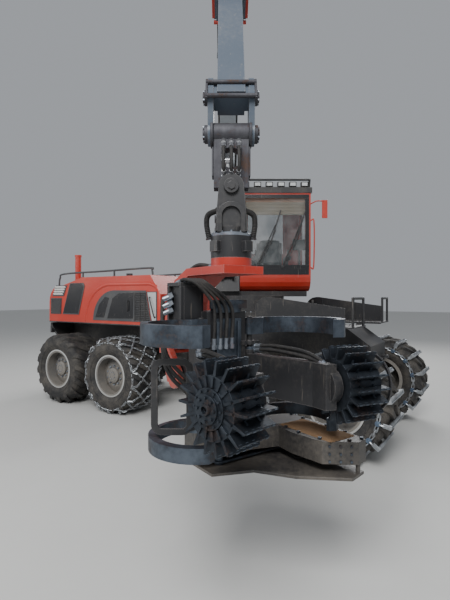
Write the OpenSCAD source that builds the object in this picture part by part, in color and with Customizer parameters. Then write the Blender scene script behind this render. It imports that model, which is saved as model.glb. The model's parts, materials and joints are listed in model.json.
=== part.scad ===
// Forestry harvester: eight wheels on four bogies, an articulated frame, a cab and a crane on one
// turntable, and a harvester head that hangs from the crane's tip.
// +X is forward, +Y is the machine's left, +Z is up, and the wheels stand on z = 0.

/* [Wheels and bogies] */
// Radius over the tyre's lugs
tyre_r = 665; // [640:5:680]
// Width of a tyre
tyre_w = 700; // [660:10:710]
// Height of a lug
lug_h = 38; // [30:1:45]
// Lugs in one row of the tread
lug_n = 16; // [14:2:18]
// Height of a cross bar over the lugs
bar_h = 25; // [20:1:30]
// Cross bars round one chained wheel
bar_n = 14; // [12:1:16]
// Radius of the rim at the tyre's bead
bead_r = 340; // [320:5:350]
// Distance between the two axles of a bogie
bogie_base = 1450; // [1440:5:1480]
// Distance between the centres of the left and right wheels
track = 2200; // [2190:5:2250]
// Height of a bogie's pivot over its axles
bogie_rise = 110; // [90:5:120]
// Width of a bogie's case
case_w = 160; // [140:5:170]
// Radius of a wheel's spindle
spindle_r = 80; // [70:1:90]
// Radius of the axle that a bogie rocks on
pivot_r = 90; // [80:1:100]

/* [Frames] */
// Front bogie pivot ahead of the slewing axis
front_bogie_x = 1250; // [1240:5:1280]
// Rear bogie pivot behind the slewing axis
rear_bogie_x = 2800; // [2760:5:2820]
// Steering joint behind the slewing axis
steer_x = 950; // [940:2:960]
// Radius of the steering pin
steer_pin_r = 50; // [40:1:60]
// Underside of both frames
frame_z = 850; // [830:5:870]
// Half of the front frame's width
frame_y = 420; // [400:5:430]
// Underside of the rear deck
rear_deck_z = 1530; // [1530:2:1540]
// Thickness of the rear deck
deck_t = 20; // [15:1:20]
// Top of the front fender decks
fender_z = 1650; // [1645:1:1660]
// Half of the width over the fender decks and the hood
body_y = 1000; // [980:5:1010]
// Radius of the tubes of rails and guards
tube_r = 18; // [14:1:20]
// Radius of the bore of the front and rear tow eyes
tow_r = 26; // [20:1:30]

/* [Hood] */
// Front end of the hood behind the slewing axis
hood_front = 1250; // [1245:5:1300]
// Rear end of the hood behind the slewing axis
hood_rear = 4350; // [4300:5:4360]
// Highest point of the hood
hood_top = 2440; // [2400:5:2460]
// Thickness of the hood's skin
skin_t = 30; // [20:1:40]
// Height of the stack's mouth
stack_top = 2950; // [2900:10:3000]
// Radius of the pins that the hood opens on
hood_pin_r = 8; // [6:1:9]
// Distance of the hood's two hinges from the middle
hood_hinge_y = 700; // [650:10:750]

/* [Turntable and cab] */
// Radius of the turntable
turn_r = 550; // [520:5:560]
// Top of the platform that carries the cab and the crane
platform_z = 2150; // [2145:1:2160]
// Cab's front behind or ahead of the slewing axis
cab_front = 350; // [340:5:360]
// Cab's back behind the slewing axis
cab_back = 950; // [930:5:955]
// Cab's right wall, to the right of the slewing axis
cab_right = 230; // [225:1:235]
// Cab's left wall, to the left of the slewing axis
cab_left = 960; // [940:5:965]
// Underside of the cab's roof
cab_top = 3800; // [3760:5:3820]
// Thickness of the cab's walls
wall_t = 50; // [40:1:60]
// Cut on the cab's back corners
cab_cut = 200; // [190:5:220]
// Thickness of the window glass
glass_t = 8; // [6:1:10]

/* [Crane] */
// Crane's middle plane, to the right of the slewing axis
crane_v = 440; // [435:1:450]
// Height of the main boom's pivot
boom_z = 3420; // [3400:5:3440]
// Main boom from pivot to knuckle
main_len = 4100; // [4000:10:4150]
// Outer boom from knuckle to tip pin
outer_len = 3630; // [3600:10:3680]
// Part of the outer boom that is its fixed section
fixed_len = 2250; // [2200:10:2300]
// Main boom's width
boom_w = 230; // [210:5:240]
// Main boom's depth at its deepest
boom_d = 330; // [300:5:350]
// Extension's width and depth
ext_w = 190; // [180:2:200]
// Radius of the crane's main pins
boom_pin_r = 40; // [34:1:46]
// Length of the crane's tip link between its two pins
link_len = 380; // [360:5:400]

/* [Harvester head] */
// Radius of the rotator
rotator_r = 140; // [130:2:150]
// Radius of a feed roller over its paddles
roller_r = 240; // [230:2:244]
// Width of a feed roller
roller_w = 240; // [220:5:250]
// Paddles round a feed roller
paddle_n = 16; // [14:1:18]
// Half of the width of the head's column
column_l = 165; // [155:1:168]
// Length of the saw bar
bar_len = 740; // [700:5:760]
// Radius of the tilt axle
tilt_pin_r = 35; // [30:1:40]

/* [Hidden] */
$fn = 48;

// Running clearance at pins and spindles, and clearance between faces that turn on each other
run = 0.3;
// Place of the slewing axis in the part's frame
slew_x = 670;
slew_y = 1750;
// Crane and cab as they stand at rest, in degrees from straight ahead
slew_rest = -57;
// Rise of the main boom and fold of the outer boom at rest, in degrees
lift_rest = 45.6;
fold_rest = 106.6;
// Head's heading at rest, in degrees from the machine's
head_yaw = -22;
// Heading of an open feed roller's free face from the head's opening, in degrees
roller_yaw = 79;

// Wheels: name, side (1 left), bogie end, front or rear frame (1 front), chain (2 bars, 1 net, 0 bare)
WHEELS = [
  ["fl1",  1,  1, 1, 2], ["fl2",  1, -1, 1, 2],
  ["fr1", -1,  1, 1, 2], ["fr2", -1, -1, 1, 2],
  ["rl1",  1,  1, 0, 1], ["rl2",  1, -1, 0, 0],
  ["rr1", -1,  1, 0, 1], ["rr2", -1, -1, 0, 0]
];

carcass_r = tyre_r - lug_h;
front_axle_z = tyre_r + bar_h;
rear_axle_z = tyre_r;
bead_y = 0.4 * tyre_w;
lip_r = bead_r + 25;
barrel_r = bead_r - 25;
case_out = track / 2 - tyre_w / 2 - 30;
case_in = case_out - case_w;
hub_end = 190;
frame_top = 1600;
ring_top = 1900;
steer_z = 1100;
front_steer_x = 200;
front_steer_y = 430;
rear_steer_x = 950;
rear_steer_y = 480;
rod_r = 30;
eye_r = 55;
tip_pin_r = 30;
// Axis of the outer boom's box over the line from the knuckle to the tip pin
outer_z = 110;
tip_u = main_len * cos(lift_rest) + outer_len * cos(fold_rest - lift_rest);
tip_z = boom_z + main_len * sin(lift_rest) - outer_len * sin(fold_rest - lift_rest);
roll_z = tip_z - link_len;
rotator_top = roll_z - 330;
rotator_h = 150;
rotator_low = rotator_top - rotator_h;
tilt_h = -450;
tilt_z = 1450;
arm_z = 1500;
roller_h = 620;
roller_l = 475;

red = [0.62, 0.08, 0.07];
black = [0.08, 0.08, 0.09];
dark = [0.20, 0.21, 0.23];
grey = [0.55, 0.57, 0.60];
steel = [0.45, 0.50, 0.56];
bluegrey = [0.36, 0.42, 0.50];
rubber = [0.12, 0.12, 0.12];

// Frames of reference: the machine under its slewing axis, the turned upper part, the crane's
// plane, the main boom, the outer boom, the tip and the head
module machine() translate([slew_x, slew_y, 0]) children();
module upper() machine() rotate([0, 0, slew_rest]) children();
module crane() upper() translate([0, -crane_v, 0]) children();
module boom() crane() translate([0, 0, boom_z]) rotate([0, -lift_rest, 0]) children();
module outer() boom() translate([main_len, 0, 0]) rotate([0, fold_rest, 0]) children();
module tip() crane() translate([tip_u, 0, 0]) children();
module head()
  tip() translate([0, 0, rotator_low - run - 110 - plate_z]) rotate([0, 0, head_yaw - slew_rest])
    children();
module head_side(side) head() mirror([0, side > 0 ? 0 : 1, 0]) children();

// A profile drawn in x and z, w wide, centred on y = 0
module slab(w) rotate([90, 0, 0]) linear_extrude(w, center = true) children();
// A round bar along y, centred on y = 0
module cross(r, w) rotate([90, 0, 0]) cylinder(r = r, h = w, center = true);
// A round bar from a to b
module bar(a, b, r) {
  d = b - a;
  translate(a)
    rotate([0, acos(d[2] / norm(d)), atan2(d[1], d[0])])
      cylinder(r = r, h = norm(d), $fn = 24);
}
// A bent tube through a list of points
module tube(p, r) {
  for (i = [0 : len(p) - 2]) bar(p[i], p[i + 1], r);
  for (i = [1 : len(p) - 2]) translate(p[i]) sphere(r = 1.04 * r, $fn = 24);
}
// The same children on the left and on the right
module both() {
  children();
  mirror([0, 1, 0]) children();
}
// Points of an arc
function arc(c, r, a, b, n) =
  [for (i = [0 : n]) [c[0] + r * cos(a + (b - a) * i / n), c[1] + r * sin(a + (b - a) * i / n)]];

// Wheels, drawn with the axle along z and the outside up
module tyre_section() {
  polygon([
    [bead_r, -bead_y], [lip_r + 5, -bead_y], [lip_r + 40, -0.47 * tyre_w], [480, -0.5 * tyre_w],
    [570, -0.47 * tyre_w], [carcass_r, -0.38 * tyre_w], [carcass_r, 0.38 * tyre_w],
    [570, 0.47 * tyre_w], [480, 0.5 * tyre_w], [lip_r + 40, 0.47 * tyre_w],
    [lip_r + 5, bead_y], [bead_r, bead_y]
  ]);
}
module lugs() {
  lug_len = 0.46 * tyre_w;
  intersection() {
    cylinder(r = tyre_r, h = tyre_w, center = true, $fn = 96);
    for (s = [-1, 1], i = [0 : lug_n - 1])
      rotate([0, 0, 360 / lug_n * (i + (s + 1) / 4)])
        translate([carcass_r, 0, s * (lug_len / 2 + 8)])
          rotate([s * 25, 0, 0])
            cube([2 * lug_h + 20, 62, lug_len], center = true);
  }
}
module cross_bars() {
  leg = 90;
  intersection() {
    cylinder(r = tyre_r + bar_h, h = tyre_w + 30, center = true, $fn = 96);
    for (i = [0 : bar_n - 1])
      rotate([0, 0, 360 / bar_n * i])
        translate([tyre_r + bar_h - leg, -27, -tyre_w / 2 - 12])
          difference() {
            cube([leg + 20, 54, tyre_w + 24]);
            translate([-1, -1, 70]) cube([leg - 35, 56, tyre_w + 24 - 140]);
          }
  }
}
module tyre(chain) {
  color(rubber) {
    rotate_extrude($fn = 96) tyre_section();
    lugs();
    if (chain == 2) cross_bars();
  }
}
module rim() {
  bore = spindle_r + run;
  color(dark)
    rotate_extrude($fn = 96)
      polygon([
        [bore, -60], [130, -60], [130, 130], [200, 150], [barrel_r, 95], [barrel_r, -bead_y - 20],
        [lip_r, -bead_y - 20], [lip_r, -bead_y], [bead_r, -bead_y], [bead_r, bead_y],
        [lip_r, bead_y], [lip_r, bead_y + 20], [barrel_r, bead_y + 20], [barrel_r, 125],
        [200, 180], [130, 180], [130, 225], [95, 240], [0, 240], [0, hub_end], [bore, hub_end]
      ]);
}
function axle_z(w) = w[3] == 1 ? front_axle_z : rear_axle_z;
function axle_x(w) = (w[3] == 1 ? front_bogie_x : -rear_bogie_x) + w[2] * bogie_base / 2;
module at_wheel(w)
  machine() translate([axle_x(w), w[1] * track / 2, axle_z(w)]) rotate([-90 * w[1], 0, 0])
    rotate([0, 0, 90 * w[1]]) children();

// Bogies: a case that carries two spindles and rocks on the frame's axle
module bogie(side, front) {
  x = front ? front_bogie_x : -rear_bogie_x;
  z = (front ? front_axle_z : rear_axle_z) + bogie_rise;
  half = bogie_base / 2;
  color(black)
    machine() translate([x, side * (case_in + case_w / 2), z]) {
      difference() {
        union() {
          slab(case_w) polygon([
            [-half, -bogie_rise + 180], [-200, 215], [200, 215], [half, -bogie_rise + 180],
            [half, -bogie_rise - 175], [180, -235], [-180, -235], [-half, -bogie_rise - 175]
          ]);
          for (e = [-half, half]) translate([e, 0, -bogie_rise]) cross(180, case_w);
        }
        cross(pivot_r + run, case_w + 2);
      }
      for (e = [-half, half]) translate([e, 0, -bogie_rise]) {
        translate([0, side * (track / 2 - 70 - case_out + case_w / 2) / 2, 0])
          cross(150, track / 2 - 70 - case_out + case_w / 2);
        translate([0, side * (track / 2 + hub_end - run - case_out + case_w / 2) / 2, 0])
          cross(spindle_r, track / 2 + hub_end - run - case_out + case_w / 2);
      }
    }
}
// The cross axle that two bogies rock on, with its end caps
module bogie_axle(z) {
  translate([0, 0, z]) cross(pivot_r, 2 * case_out);
  translate([0, 0, z]) cross(pivot_r + 60, 2 * (case_in - 6));
  both() translate([0, case_out + run + 6, z]) cross(pivot_r + 30, 12);
  both() translate([0, case_out, z]) cross(pivot_r, 2 * (run + 6));
}

// Hinges of the hood, 30 behind its rear wall and 10 over the deck
hood_leaf_w = 90;
module at_hood_hinge()
  translate([-hood_rear - 30, hood_hinge_y, rear_deck_z + deck_t + 10]) children();

// Rear frame
module rear_chassis() {
  front = 1280;
  color(black) machine() {
    translate([0, 0, frame_z]) linear_extrude(rear_deck_z - frame_z)
      polygon([
        [-front, 240], [-1700, 370], [-hood_rear, 370],
        [-hood_rear, -370], [-1700, -370], [-front, -240]
      ]);
    translate([-hood_rear, -body_y, rear_deck_z])
      cube([hood_rear - hood_front - 20, 2 * body_y, deck_t]);
    for (z = [frame_z - 60, 1320])
      translate([0, 0, z]) linear_extrude(90) {
        polygon([[-front - 200, 240], [-front - 200, -240], [-steer_x, -110], [-steer_x, 110]]);
        translate([-steer_x, 0]) circle(r = 125);
      }
    translate([-steer_x, 0, frame_z - 60]) cylinder(r = steer_pin_r, h = 1410 - frame_z + 60);
    translate([-rear_bogie_x, 0, 0]) bogie_axle(rear_axle_z + bogie_rise);
    both() for (z = [steer_z - 85, steer_z + 60])
      translate([0, 0, z]) linear_extrude(25) {
        polygon([
          [-steer_x - rear_steer_x - 180, 350], [-steer_x - rear_steer_x + 140, 350],
          [-steer_x - rear_steer_x + 50, rear_steer_y + 30],
          [-steer_x - rear_steer_x - 50, rear_steer_y + 30]
        ]);
        translate([-steer_x - rear_steer_x, rear_steer_y]) circle(r = 50);
      }
    both() translate([-steer_x - rear_steer_x, rear_steer_y, steer_z - 85])
      cylinder(r = 25, h = 170);
    both() at_hood_hinge() {
      cross(hood_pin_r, hood_leaf_w + 40);
      for (s = [-1, 1]) translate([0, s * (hood_leaf_w / 2 + 13), 0]) slab(14) {
        circle(r = 2 * hood_pin_r);
        polygon([[-12, -12], [0, -30], [35, -30], [35, -12], [14, -8]]);
      }
    }
  }
}
module rear_bumper() {
  color(black) machine() difference() {
    union() {
      translate([-hood_rear - 60, 0, 1200]) rotate([0, 90, 0]) linear_extrude(60)
        polygon([
          [260, -600], [-250, -930], [-310, -930], [-310, 930], [-250, 930], [260, 600]
        ]);
      both() translate([-hood_rear - 110, 640, 1290]) cube([50, 260, 150]);
      translate([-hood_rear - 160, -70, 980]) cube([100, 140, 40]);
      translate([-hood_rear - 160, -70, 1080]) cube([100, 140, 40]);
    }
    translate([-hood_rear - 115, 0, 900]) cylinder(r = tow_r, h = 300);
  }
}
module engine_block() {
  color(dark) machine() translate([-3250, -420, rear_deck_z + deck_t]) cube([1350, 840, 620]);
}

// Hood: side profile with a rounded rear corner and a sloped front, t inside the skin
function hood_side(t) = concat(
  [[-hood_front - t, rear_deck_z + deck_t + run], [-hood_front - t, 2100 - t / 2],
   [-hood_front - 240 - t / 2, hood_top - t], [-3300, hood_top - t]],
  arc([-hood_rear + 330, 1955], 330 - t, 78, 180, 6),
  [[-hood_rear + t, rear_deck_z + deck_t + run]]);
module hood_shell() {
  color(red) machine() {
    difference() {
      slab(2 * body_y) polygon(hood_side(0));
      slab(2 * (body_y - skin_t)) polygon(hood_side(skin_t));
      translate([0, 0, rear_deck_z + deck_t])
        translate([-hood_rear + skin_t + 0.1, -body_y + skin_t, -1])
          cube([hood_rear - hood_front - 2 * skin_t - 0.2, 2 * (body_y - skin_t), 8]);
    }
    translate([-3980, -560, 2260]) cylinder(r = 62, h = stack_top - 2260);
    translate([-3980, -560, stack_top - 40]) cylinder(r = 72, h = 40);
    both() at_hood_hinge() difference() {
      slab(hood_leaf_w) {
        circle(r = 2 * hood_pin_r);
        polygon([[0, -14], [0, 16], [31, 16], [31, -9]]);
      }
      cross(hood_pin_r + run, hood_leaf_w + 2);
    }
  }
}
// Side panels: front edge and rear edge behind the slewing axis, low and high edge
SIDE_PANELS = [
  [1330, 1560, 1640, 2230], [1590, 1880, 1640, 2230], [1930, 2700, 1640, 2250],
  [3150, 3640, 1640, 2300], [3720, 4060, 1620, 1900], [3720, 4060, 1940, 2120]
];
module hood_fittings() {
  color(dark) machine() {
    both() for (p = SIDE_PANELS)
      translate([-p[1], body_y, p[2]]) cube([p[1] - p[0], 12, p[3] - p[2]]);
    difference() {
      both() {
        tube([
          [-4180, 900, 2150], [-4130, 900, 2470], [-3980, 900, 2530],
          [-1600, 900, 2570], [-1520, 900, hood_top - 50]
        ], tube_r);
        for (x = [3400, 2500]) bar([-x, 900, hood_top - 20], [-x, 900, 2550], tube_r);
      }
      slab(2 * body_y) polygon(hood_side(0));
    }
    translate([-2300, -700, hood_top]) cylinder(r = 60, h = 60);
  }
}

// Front frame with the yoke, the turntable's fixed ring and the front tow eye
module front_chassis() {
  back = 600;
  nose = 2150;
  color(black) machine() difference() {
    union() {
      slab(2 * frame_y) polygon([
        [-back, frame_z], [nose - 200, frame_z], [nose, 1080], [nose, 1350],
        [nose - 350, frame_top], [-back + 60, frame_top], [-back, frame_top - 120]
      ]);
      translate([0, 0, 890 + run]) linear_extrude(420 - 2 * run) {
        polygon([[-steer_x, 110], [-back - 60, 180], [-back + 20, 180],
          [-back + 20, -180], [-back - 60, -180], [-steer_x, -110]]);
        translate([-steer_x, 0]) circle(r = 110);
      }
      translate([front_bogie_x, 0, 0]) bogie_axle(front_axle_z + bogie_rise);
      translate([0, 0, frame_top - 20]) cylinder(r = turn_r, h = ring_top - 100 - frame_top + 20, $fn = 96);
      translate([0, 0, ring_top - 180]) cylinder(r = turn_r + 40, h = 80, $fn = 96);
      both() for (z = [steer_z - 85, steer_z + 60])
        translate([0, 0, z]) linear_extrude(25) {
          polygon([
            [-back + 20, 300], [-back + 20, front_steer_y],
            [-steer_x + front_steer_x, front_steer_y + 50],
            [-steer_x + front_steer_x - 20, front_steer_y - 50]
          ]);
          translate([-steer_x + front_steer_x, front_steer_y]) circle(r = 50);
        }
      both() translate([nose + 50, 200, 1130]) linear_extrude(40) {
        circle(r = 60);
        polygon([[-80, -60], [0, -60], [0, 60], [-80, 60]]);
      }
    }
    translate([-steer_x, 0, 800]) cylinder(r = steer_pin_r + run, h = 600);
    both() translate([nose + 50, 200, 1120]) cylinder(r = tow_r, h = 60);
  }
}
module fender_decks() {
  front = 2080;
  back = 600;
  color(black) machine() both() {
    translate([back, frame_y, fender_z - 20])
      cube([front - back, body_y - frame_y - 10, 20]);
    for (x = [back + 40, front - 380])
      translate([x, frame_y, fender_z - 50]) cube([60, body_y - frame_y - 60, 30]);
    translate([0, body_y - 10, 0]) rotate([90, 0, 0]) linear_extrude(10)
      polygon(concat(
        [[front - 120, fender_z - 60], [front - 120, 1900]],
        [[back + 260, 2050]],
        arc([back + 200, 1850], 200, 90, 180, 4),
        [[back, fender_z - 60]]));
    tube([
      [front - 20, body_y - 30, fender_z - 10], [front - 20, body_y - 30, 2030],
      [front, frame_y + 130, 2030], [front, frame_y + 130, fender_z - 10]
    ], tube_r);
    for (x = [back + 330, back + 900])
      bar([x, body_y - 35, fender_z - 10], [x, body_y - 35, 2010], 14);
  }
}

// Upper part: platform, pillar and the turning ring in one
module crane_base() {
  pillar_u = 90;
  color(black) {
    upper() {
      difference() {
        union() {
          translate([0, 0, ring_top - 100 + run])
            cylinder(r = turn_r, h = platform_z - 80 - (ring_top - 100 + run), $fn = 96);
          translate([0, 0, platform_z - 90]) linear_extrude(90)
            polygon([
              [-cab_back + 60, cab_left - cab_cut], [-cab_back + cab_cut + 60, cab_left - 40],
              [cab_front - 150, cab_left - 40], [cab_front - 150, -crane_v - 260],
              [-cab_back + 300, -crane_v - 260], [-cab_back + 60, -cab_right]
            ]);
        }
        translate([0, 0, ring_top - 110]) cylinder(r = 260, h = 150);
      }
    }
    crane() {
      slab(2 * (crane_v - cab_right) - 20) polygon([
        [-330, platform_z - 1], [330, platform_z - 1], [300, platform_z + 200],
        [pillar_u + 90, boom_z - 420], [-190, boom_z - 420], [-280, platform_z + 300]
      ]);
      both() translate([0, crane_v - cab_right - 45, 0]) slab(40) {
        polygon([
          [-180, boom_z - 440], [pillar_u + 80, boom_z - 440], [120, boom_z], [-120, boom_z]
        ]);
        translate([0, boom_z]) circle(r = 120);
      }
      translate([0, 0, boom_z]) cross(boom_pin_r, 2 * (crane_v - cab_right) - 50);
      both() translate([0, 95, 0]) slab(40) {
        polygon([[200, 2330], [390, 2360], [390, 2500], [180, 2640]]);
        translate([350, 2440]) circle(r = 90);
      }
      translate([350, 0, 2440]) cross(32, 200);
    }
  }
}

// Cab: outline in plan and in side view, t inside the walls
function cab_plan(t) = [
  [cab_front - t, -cab_right + t], [cab_front - t, cab_left - t],
  [-cab_back + cab_cut + t * 0.42, cab_left - t], [-cab_back + t, cab_left - cab_cut - t * 0.42],
  [-cab_back + t, -cab_right + cab_cut / 2 + t * 0.42],
  [-cab_back + cab_cut / 2 + t * 0.42, -cab_right + t]
];
function cab_side(t) = concat(
  [[-cab_back - 1 + t, platform_z + t], [cab_front - 230 - t / 2, platform_z + t]],
  arc([cab_front - 230, platform_z + 230], 230 - t, -80, 0, 4),
  [[cab_front - t, cab_top + 1], [-cab_back - 1 + t, cab_top + 1]]);
// Door opening in the left wall
door_u0 = -600;
door_u1 = 180;
door_z0 = 2330;
door_z1 = 3720;
// Windows cut along u: low and high edge, right and left edge
FRONT_WINDOW = [2560, 3740, -cab_right + 70, cab_left - 70];
BACK_WINDOW = [2900, 3700, -cab_right + 200, cab_left - 300];
RIGHT_WINDOW = [2900, 3700, -600, 180];
// Door hinges: heights of their lower leaves, pin radius and distance of the pin from the wall
HINGE_Z = [2480, 3480];
hinge_r = 9;
hinge_v = 20;
module cab_block(t) intersection() {
  translate([0, 0, platform_z - 1]) linear_extrude(cab_top - platform_z + 2) polygon(cab_plan(t));
  translate([0, 500, 0]) slab(2600) polygon(cab_side(t));
}
module cab_shell() {
  color(red) upper() difference() {
    cab_block(0);
    cab_block(wall_t);
    translate([-cab_back - 10, -1000, cab_top]) cube([2000, 3000, 100]);
    translate([cab_front - wall_t - 10, FRONT_WINDOW[2], FRONT_WINDOW[0]])
      cube([wall_t + 20, FRONT_WINDOW[3] - FRONT_WINDOW[2], FRONT_WINDOW[1] - FRONT_WINDOW[0]]);
    translate([-cab_back - 10, BACK_WINDOW[2], BACK_WINDOW[0]])
      cube([wall_t + 20, BACK_WINDOW[3] - BACK_WINDOW[2], BACK_WINDOW[1] - BACK_WINDOW[0]]);
    translate([RIGHT_WINDOW[2], -cab_right - 10, RIGHT_WINDOW[0]])
      cube([RIGHT_WINDOW[3] - RIGHT_WINDOW[2], wall_t + 20, RIGHT_WINDOW[1] - RIGHT_WINDOW[0]]);
    translate([door_u0, cab_left - wall_t - 10, door_z0])
      cube([door_u1 - door_u0, wall_t + 20, door_z1 - door_z0]);
  }
  color(black) upper() for (z = HINGE_Z) {
    translate([0, 0, z]) linear_extrude(20) {
      polygon([
        [door_u0 - 60, cab_left], [door_u0 - 8, cab_left], [door_u0, cab_left + hinge_v - hinge_r],
        [door_u0, cab_left + hinge_v + 12], [door_u0 - 60, cab_left + 12]
      ]);
      translate([door_u0, cab_left + hinge_v]) circle(r = hinge_r + 7);
    }
    translate([door_u0, cab_left + hinge_v, z]) cylinder(r = hinge_r, h = 80);
  }
}
module cab_glass() {
  color([0.6, 0.8, 0.85, 0.4]) upper() {
    translate([cab_front - 20 - glass_t, FRONT_WINDOW[2], FRONT_WINDOW[0]])
      cube([glass_t, FRONT_WINDOW[3] - FRONT_WINDOW[2], FRONT_WINDOW[1] - FRONT_WINDOW[0]]);
    translate([-cab_back + 20, BACK_WINDOW[2], BACK_WINDOW[0]])
      cube([glass_t, BACK_WINDOW[3] - BACK_WINDOW[2], BACK_WINDOW[1] - BACK_WINDOW[0]]);
    translate([RIGHT_WINDOW[2], -cab_right + 20, RIGHT_WINDOW[0]])
      cube([RIGHT_WINDOW[3] - RIGHT_WINDOW[2], glass_t, RIGHT_WINDOW[1] - RIGHT_WINDOW[0]]);
  }
}
module cab_roof() {
  lamp_n = 6;
  color(black) upper() {
    translate([0, 0, cab_top]) linear_extrude(90) polygon(cab_plan(-20));
    translate([cab_front - 120, -cab_right, cab_top + 90])
      cube([90, cab_left + cab_right, 20]);
    for (i = [0 : lamp_n - 1])
      translate([cab_front - 100, -cab_right + 40 + i * (cab_left + cab_right - 200) / (lamp_n - 1),
        cab_top + 110]) cube([90, 120, 80]);
    tube([
      [cab_front - 60, -cab_right + 20, cab_top + 100],
      [cab_front, -cab_right + 20, cab_top + 220],
      [cab_front, cab_left - 20, cab_top + 220],
      [cab_front - 60, cab_left - 20, cab_top + 100]
    ], tube_r);
  }
}
module cab_door() {
  gap = 6;
  color(red) upper() difference() {
    union() {
      translate([door_u0 + gap, cab_left - wall_t, door_z0 + gap])
        cube([door_u1 - door_u0 - 2 * gap, wall_t, door_z1 - door_z0 - 2 * gap]);
      for (z = HINGE_Z) translate([door_u0, cab_left + hinge_v, z + 20 + run]) {
        cylinder(r = hinge_r + 9, h = 50);
        translate([0, -hinge_v - 1, 0]) cube([80, hinge_v, 50]);
      }
    }
    for (z = HINGE_Z) translate([door_u0, cab_left + hinge_v, z]) {
      cylinder(r = hinge_r + run, h = 90);
      translate([-60, -hinge_v - 20, 0]) cube([62, 22, 90]);
    }
    translate([door_u0 + 90, cab_left - wall_t - 10, door_z0 + 130])
      cube([door_u1 - door_u0 - 180, wall_t + 20, door_z1 - door_z0 - 230]);
  }
}
module door_glass() {
  color([0.6, 0.8, 0.85, 0.4]) upper()
    translate([door_u0 + 90, cab_left - 28, door_z0 + 130])
      cube([door_u1 - door_u0 - 180, glass_t, door_z1 - door_z0 - 230]);
}
seat_v = 365;
seat_u = -420;
module seat_base() {
  floor_z = platform_z + wall_t;
  color(black) upper() {
    translate([seat_u, seat_v, floor_z]) cylinder(r = 150, h = 260);
    translate([seat_u - 250, seat_v - 250, floor_z + 260]) cube([500, 500, 60]);
    translate([seat_u - 300, seat_v - 240, floor_z + 260]) cube([50, 480, 620]);
    for (s = [-1, 1]) translate([seat_u - 130, seat_v + s * 290 - 45, floor_z + 280]) {
      cube([80, 90, 240]);
      translate([0, 0, 240]) cube([420, 90, 50]);
      translate([370, 45, 290]) cylinder(r = 18, h = 130);
    }
  }
}
module seat_pads() {
  floor_z = platform_z + wall_t;
  color(dark) upper() {
    translate([seat_u - 245, seat_v - 235, floor_z + 320 + run]) cube([480, 470, 110]);
    translate([seat_u - 250 + run, seat_v - 225, floor_z + 440]) cube([110, 450, 520]);
  }
}

// Crane: main boom, outer boom with its extension, and their cylinders
module main_boom() {
  color(grey) boom() difference() {
    union() {
      slab(boom_w) polygon([
        [0, -110], [500, -boom_d / 2], [1700, -boom_d / 2], [main_len, -100],
        [main_len, 100], [1700, boom_d / 2], [400, boom_d / 2], [0, 110]
      ]);
      cross(110, boom_w);
      translate([main_len, 0, 0]) cross(105, boom_w);
      both() translate([0, 85, 0]) slab(30) {
        polygon([[1050, -150], [1450, -150], [1330, -310], [1170, -310]]);
        translate(lift_b) circle(r = 80);
        translate([jib_a[0], 0]) polygon([[-200, 140], [200, 120], [70, 330], [-70, 330]]);
        translate(jib_a) circle(r = 70);
      }
      translate([jib_a[0], 0, jib_a[1]]) cross(24, 170);
    }
    cross(boom_pin_r + run, boom_w + 2);
    translate([main_len, 0, 0]) cross(boom_pin_r + run, boom_w + 2);
  }
}
module outer_boom() {
  w = ext_w + 40;
  start = 240;
  plate = boom_w / 2 + 8;
  color(bluegrey) outer() {
    difference() {
      union() {
        translate([0, 0, outer_z]) slab(w) polygon([
          [start, -w / 2], [fixed_len, -w / 2], [fixed_len, w / 2],
          [start + 260, w / 2 + 40], [start, w / 2 + 10]
        ]);
        both() translate([0, (plate + 30 + w / 2) / 2 - 0.5, outer_z])
          slab(plate + 31 - w / 2)
            polygon([[start, -110], [start + 330, -70], [start + 330, 90], [start, 120]]);
      }
      translate([start + 40, -ext_w / 2 - run, outer_z - ext_w / 2 - run])
        cube([fixed_len, ext_w + 2 * run, ext_w + 2 * run]);
    }
    both() translate([0, plate + 15, 0]) slab(30) {
      polygon([
        [-330, 70], [-280, 175], [0, 190], [start + 260, 200], [start + 330, 60],
        [start + 250, -10], [80, -110], [-60, -110]
      ]);
      circle(r = 130);
      translate(jib_lever) circle(r = 60);
    }
    cross(boom_pin_r, 2 * plate + 60);
    both() translate([fixed_len - 280, w / 2 + 10 - 0.5, outer_z]) slab(21)
      polygon([[0, -125], [270, -95], [270, 95], [0, 125]]);
  }
}
module extension_boom() {
  clevis = 160;
  color(bluegrey) outer() difference() {
    union() {
      translate([outer_len - 2130, -ext_w / 2, outer_z - ext_w / 2])
        cube([1950, ext_w, ext_w]);
      both() translate([0, clevis - 20, 0]) slab(40) {
        polygon([
          [outer_len - 330, outer_z - 70], [outer_len - 40, -75], [outer_len, 80],
          [outer_len - 150, outer_z + 90], [outer_len - 330, outer_z + 90]
        ]);
        translate([outer_len, 0]) circle(r = 80);
      }
      translate([outer_len - 330, -clevis + 10, outer_z - 60]) cube([150, 2 * clevis - 20, 140]);
    }
    translate([outer_len, 0, 0]) cross(tip_pin_r + run, 2 * clevis + 2);
  }
}
lift_a = [350, 2440];
lift_b = [1250, -290];
module lift_barrel() {
  color(black) crane() translate([lift_a[0], 0, lift_a[1]]) rotate([0, -lift_angle, 0])
    difference() {
      union() {
        cross(60, 140);
        rotate([0, 90, 0]) cylinder(r = 62, h = 1180);
      }
      cross(32 + run, 142);
      translate([150, 0, 0]) rotate([0, 90, 0]) cylinder(r = 36 + run, h = 1100);
    }
}
module lift_rod() {
  color(steel) crane() translate([lift_a[0], 0, lift_a[1]]) rotate([0, -lift_angle, 0]) {
    translate([lift_len - 1230, 0, 0]) rotate([0, 90, 0]) cylinder(r = 36, h = 1190);
    translate([lift_len, 0, 0]) cross(50, 120);
  }
}
lift_bu = lift_b[0] * cos(lift_rest) - lift_b[1] * sin(lift_rest);
lift_bz = boom_z + lift_b[0] * sin(lift_rest) + lift_b[1] * cos(lift_rest);
lift_len = norm([lift_bu - lift_a[0], lift_bz - lift_a[1]]);
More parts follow.
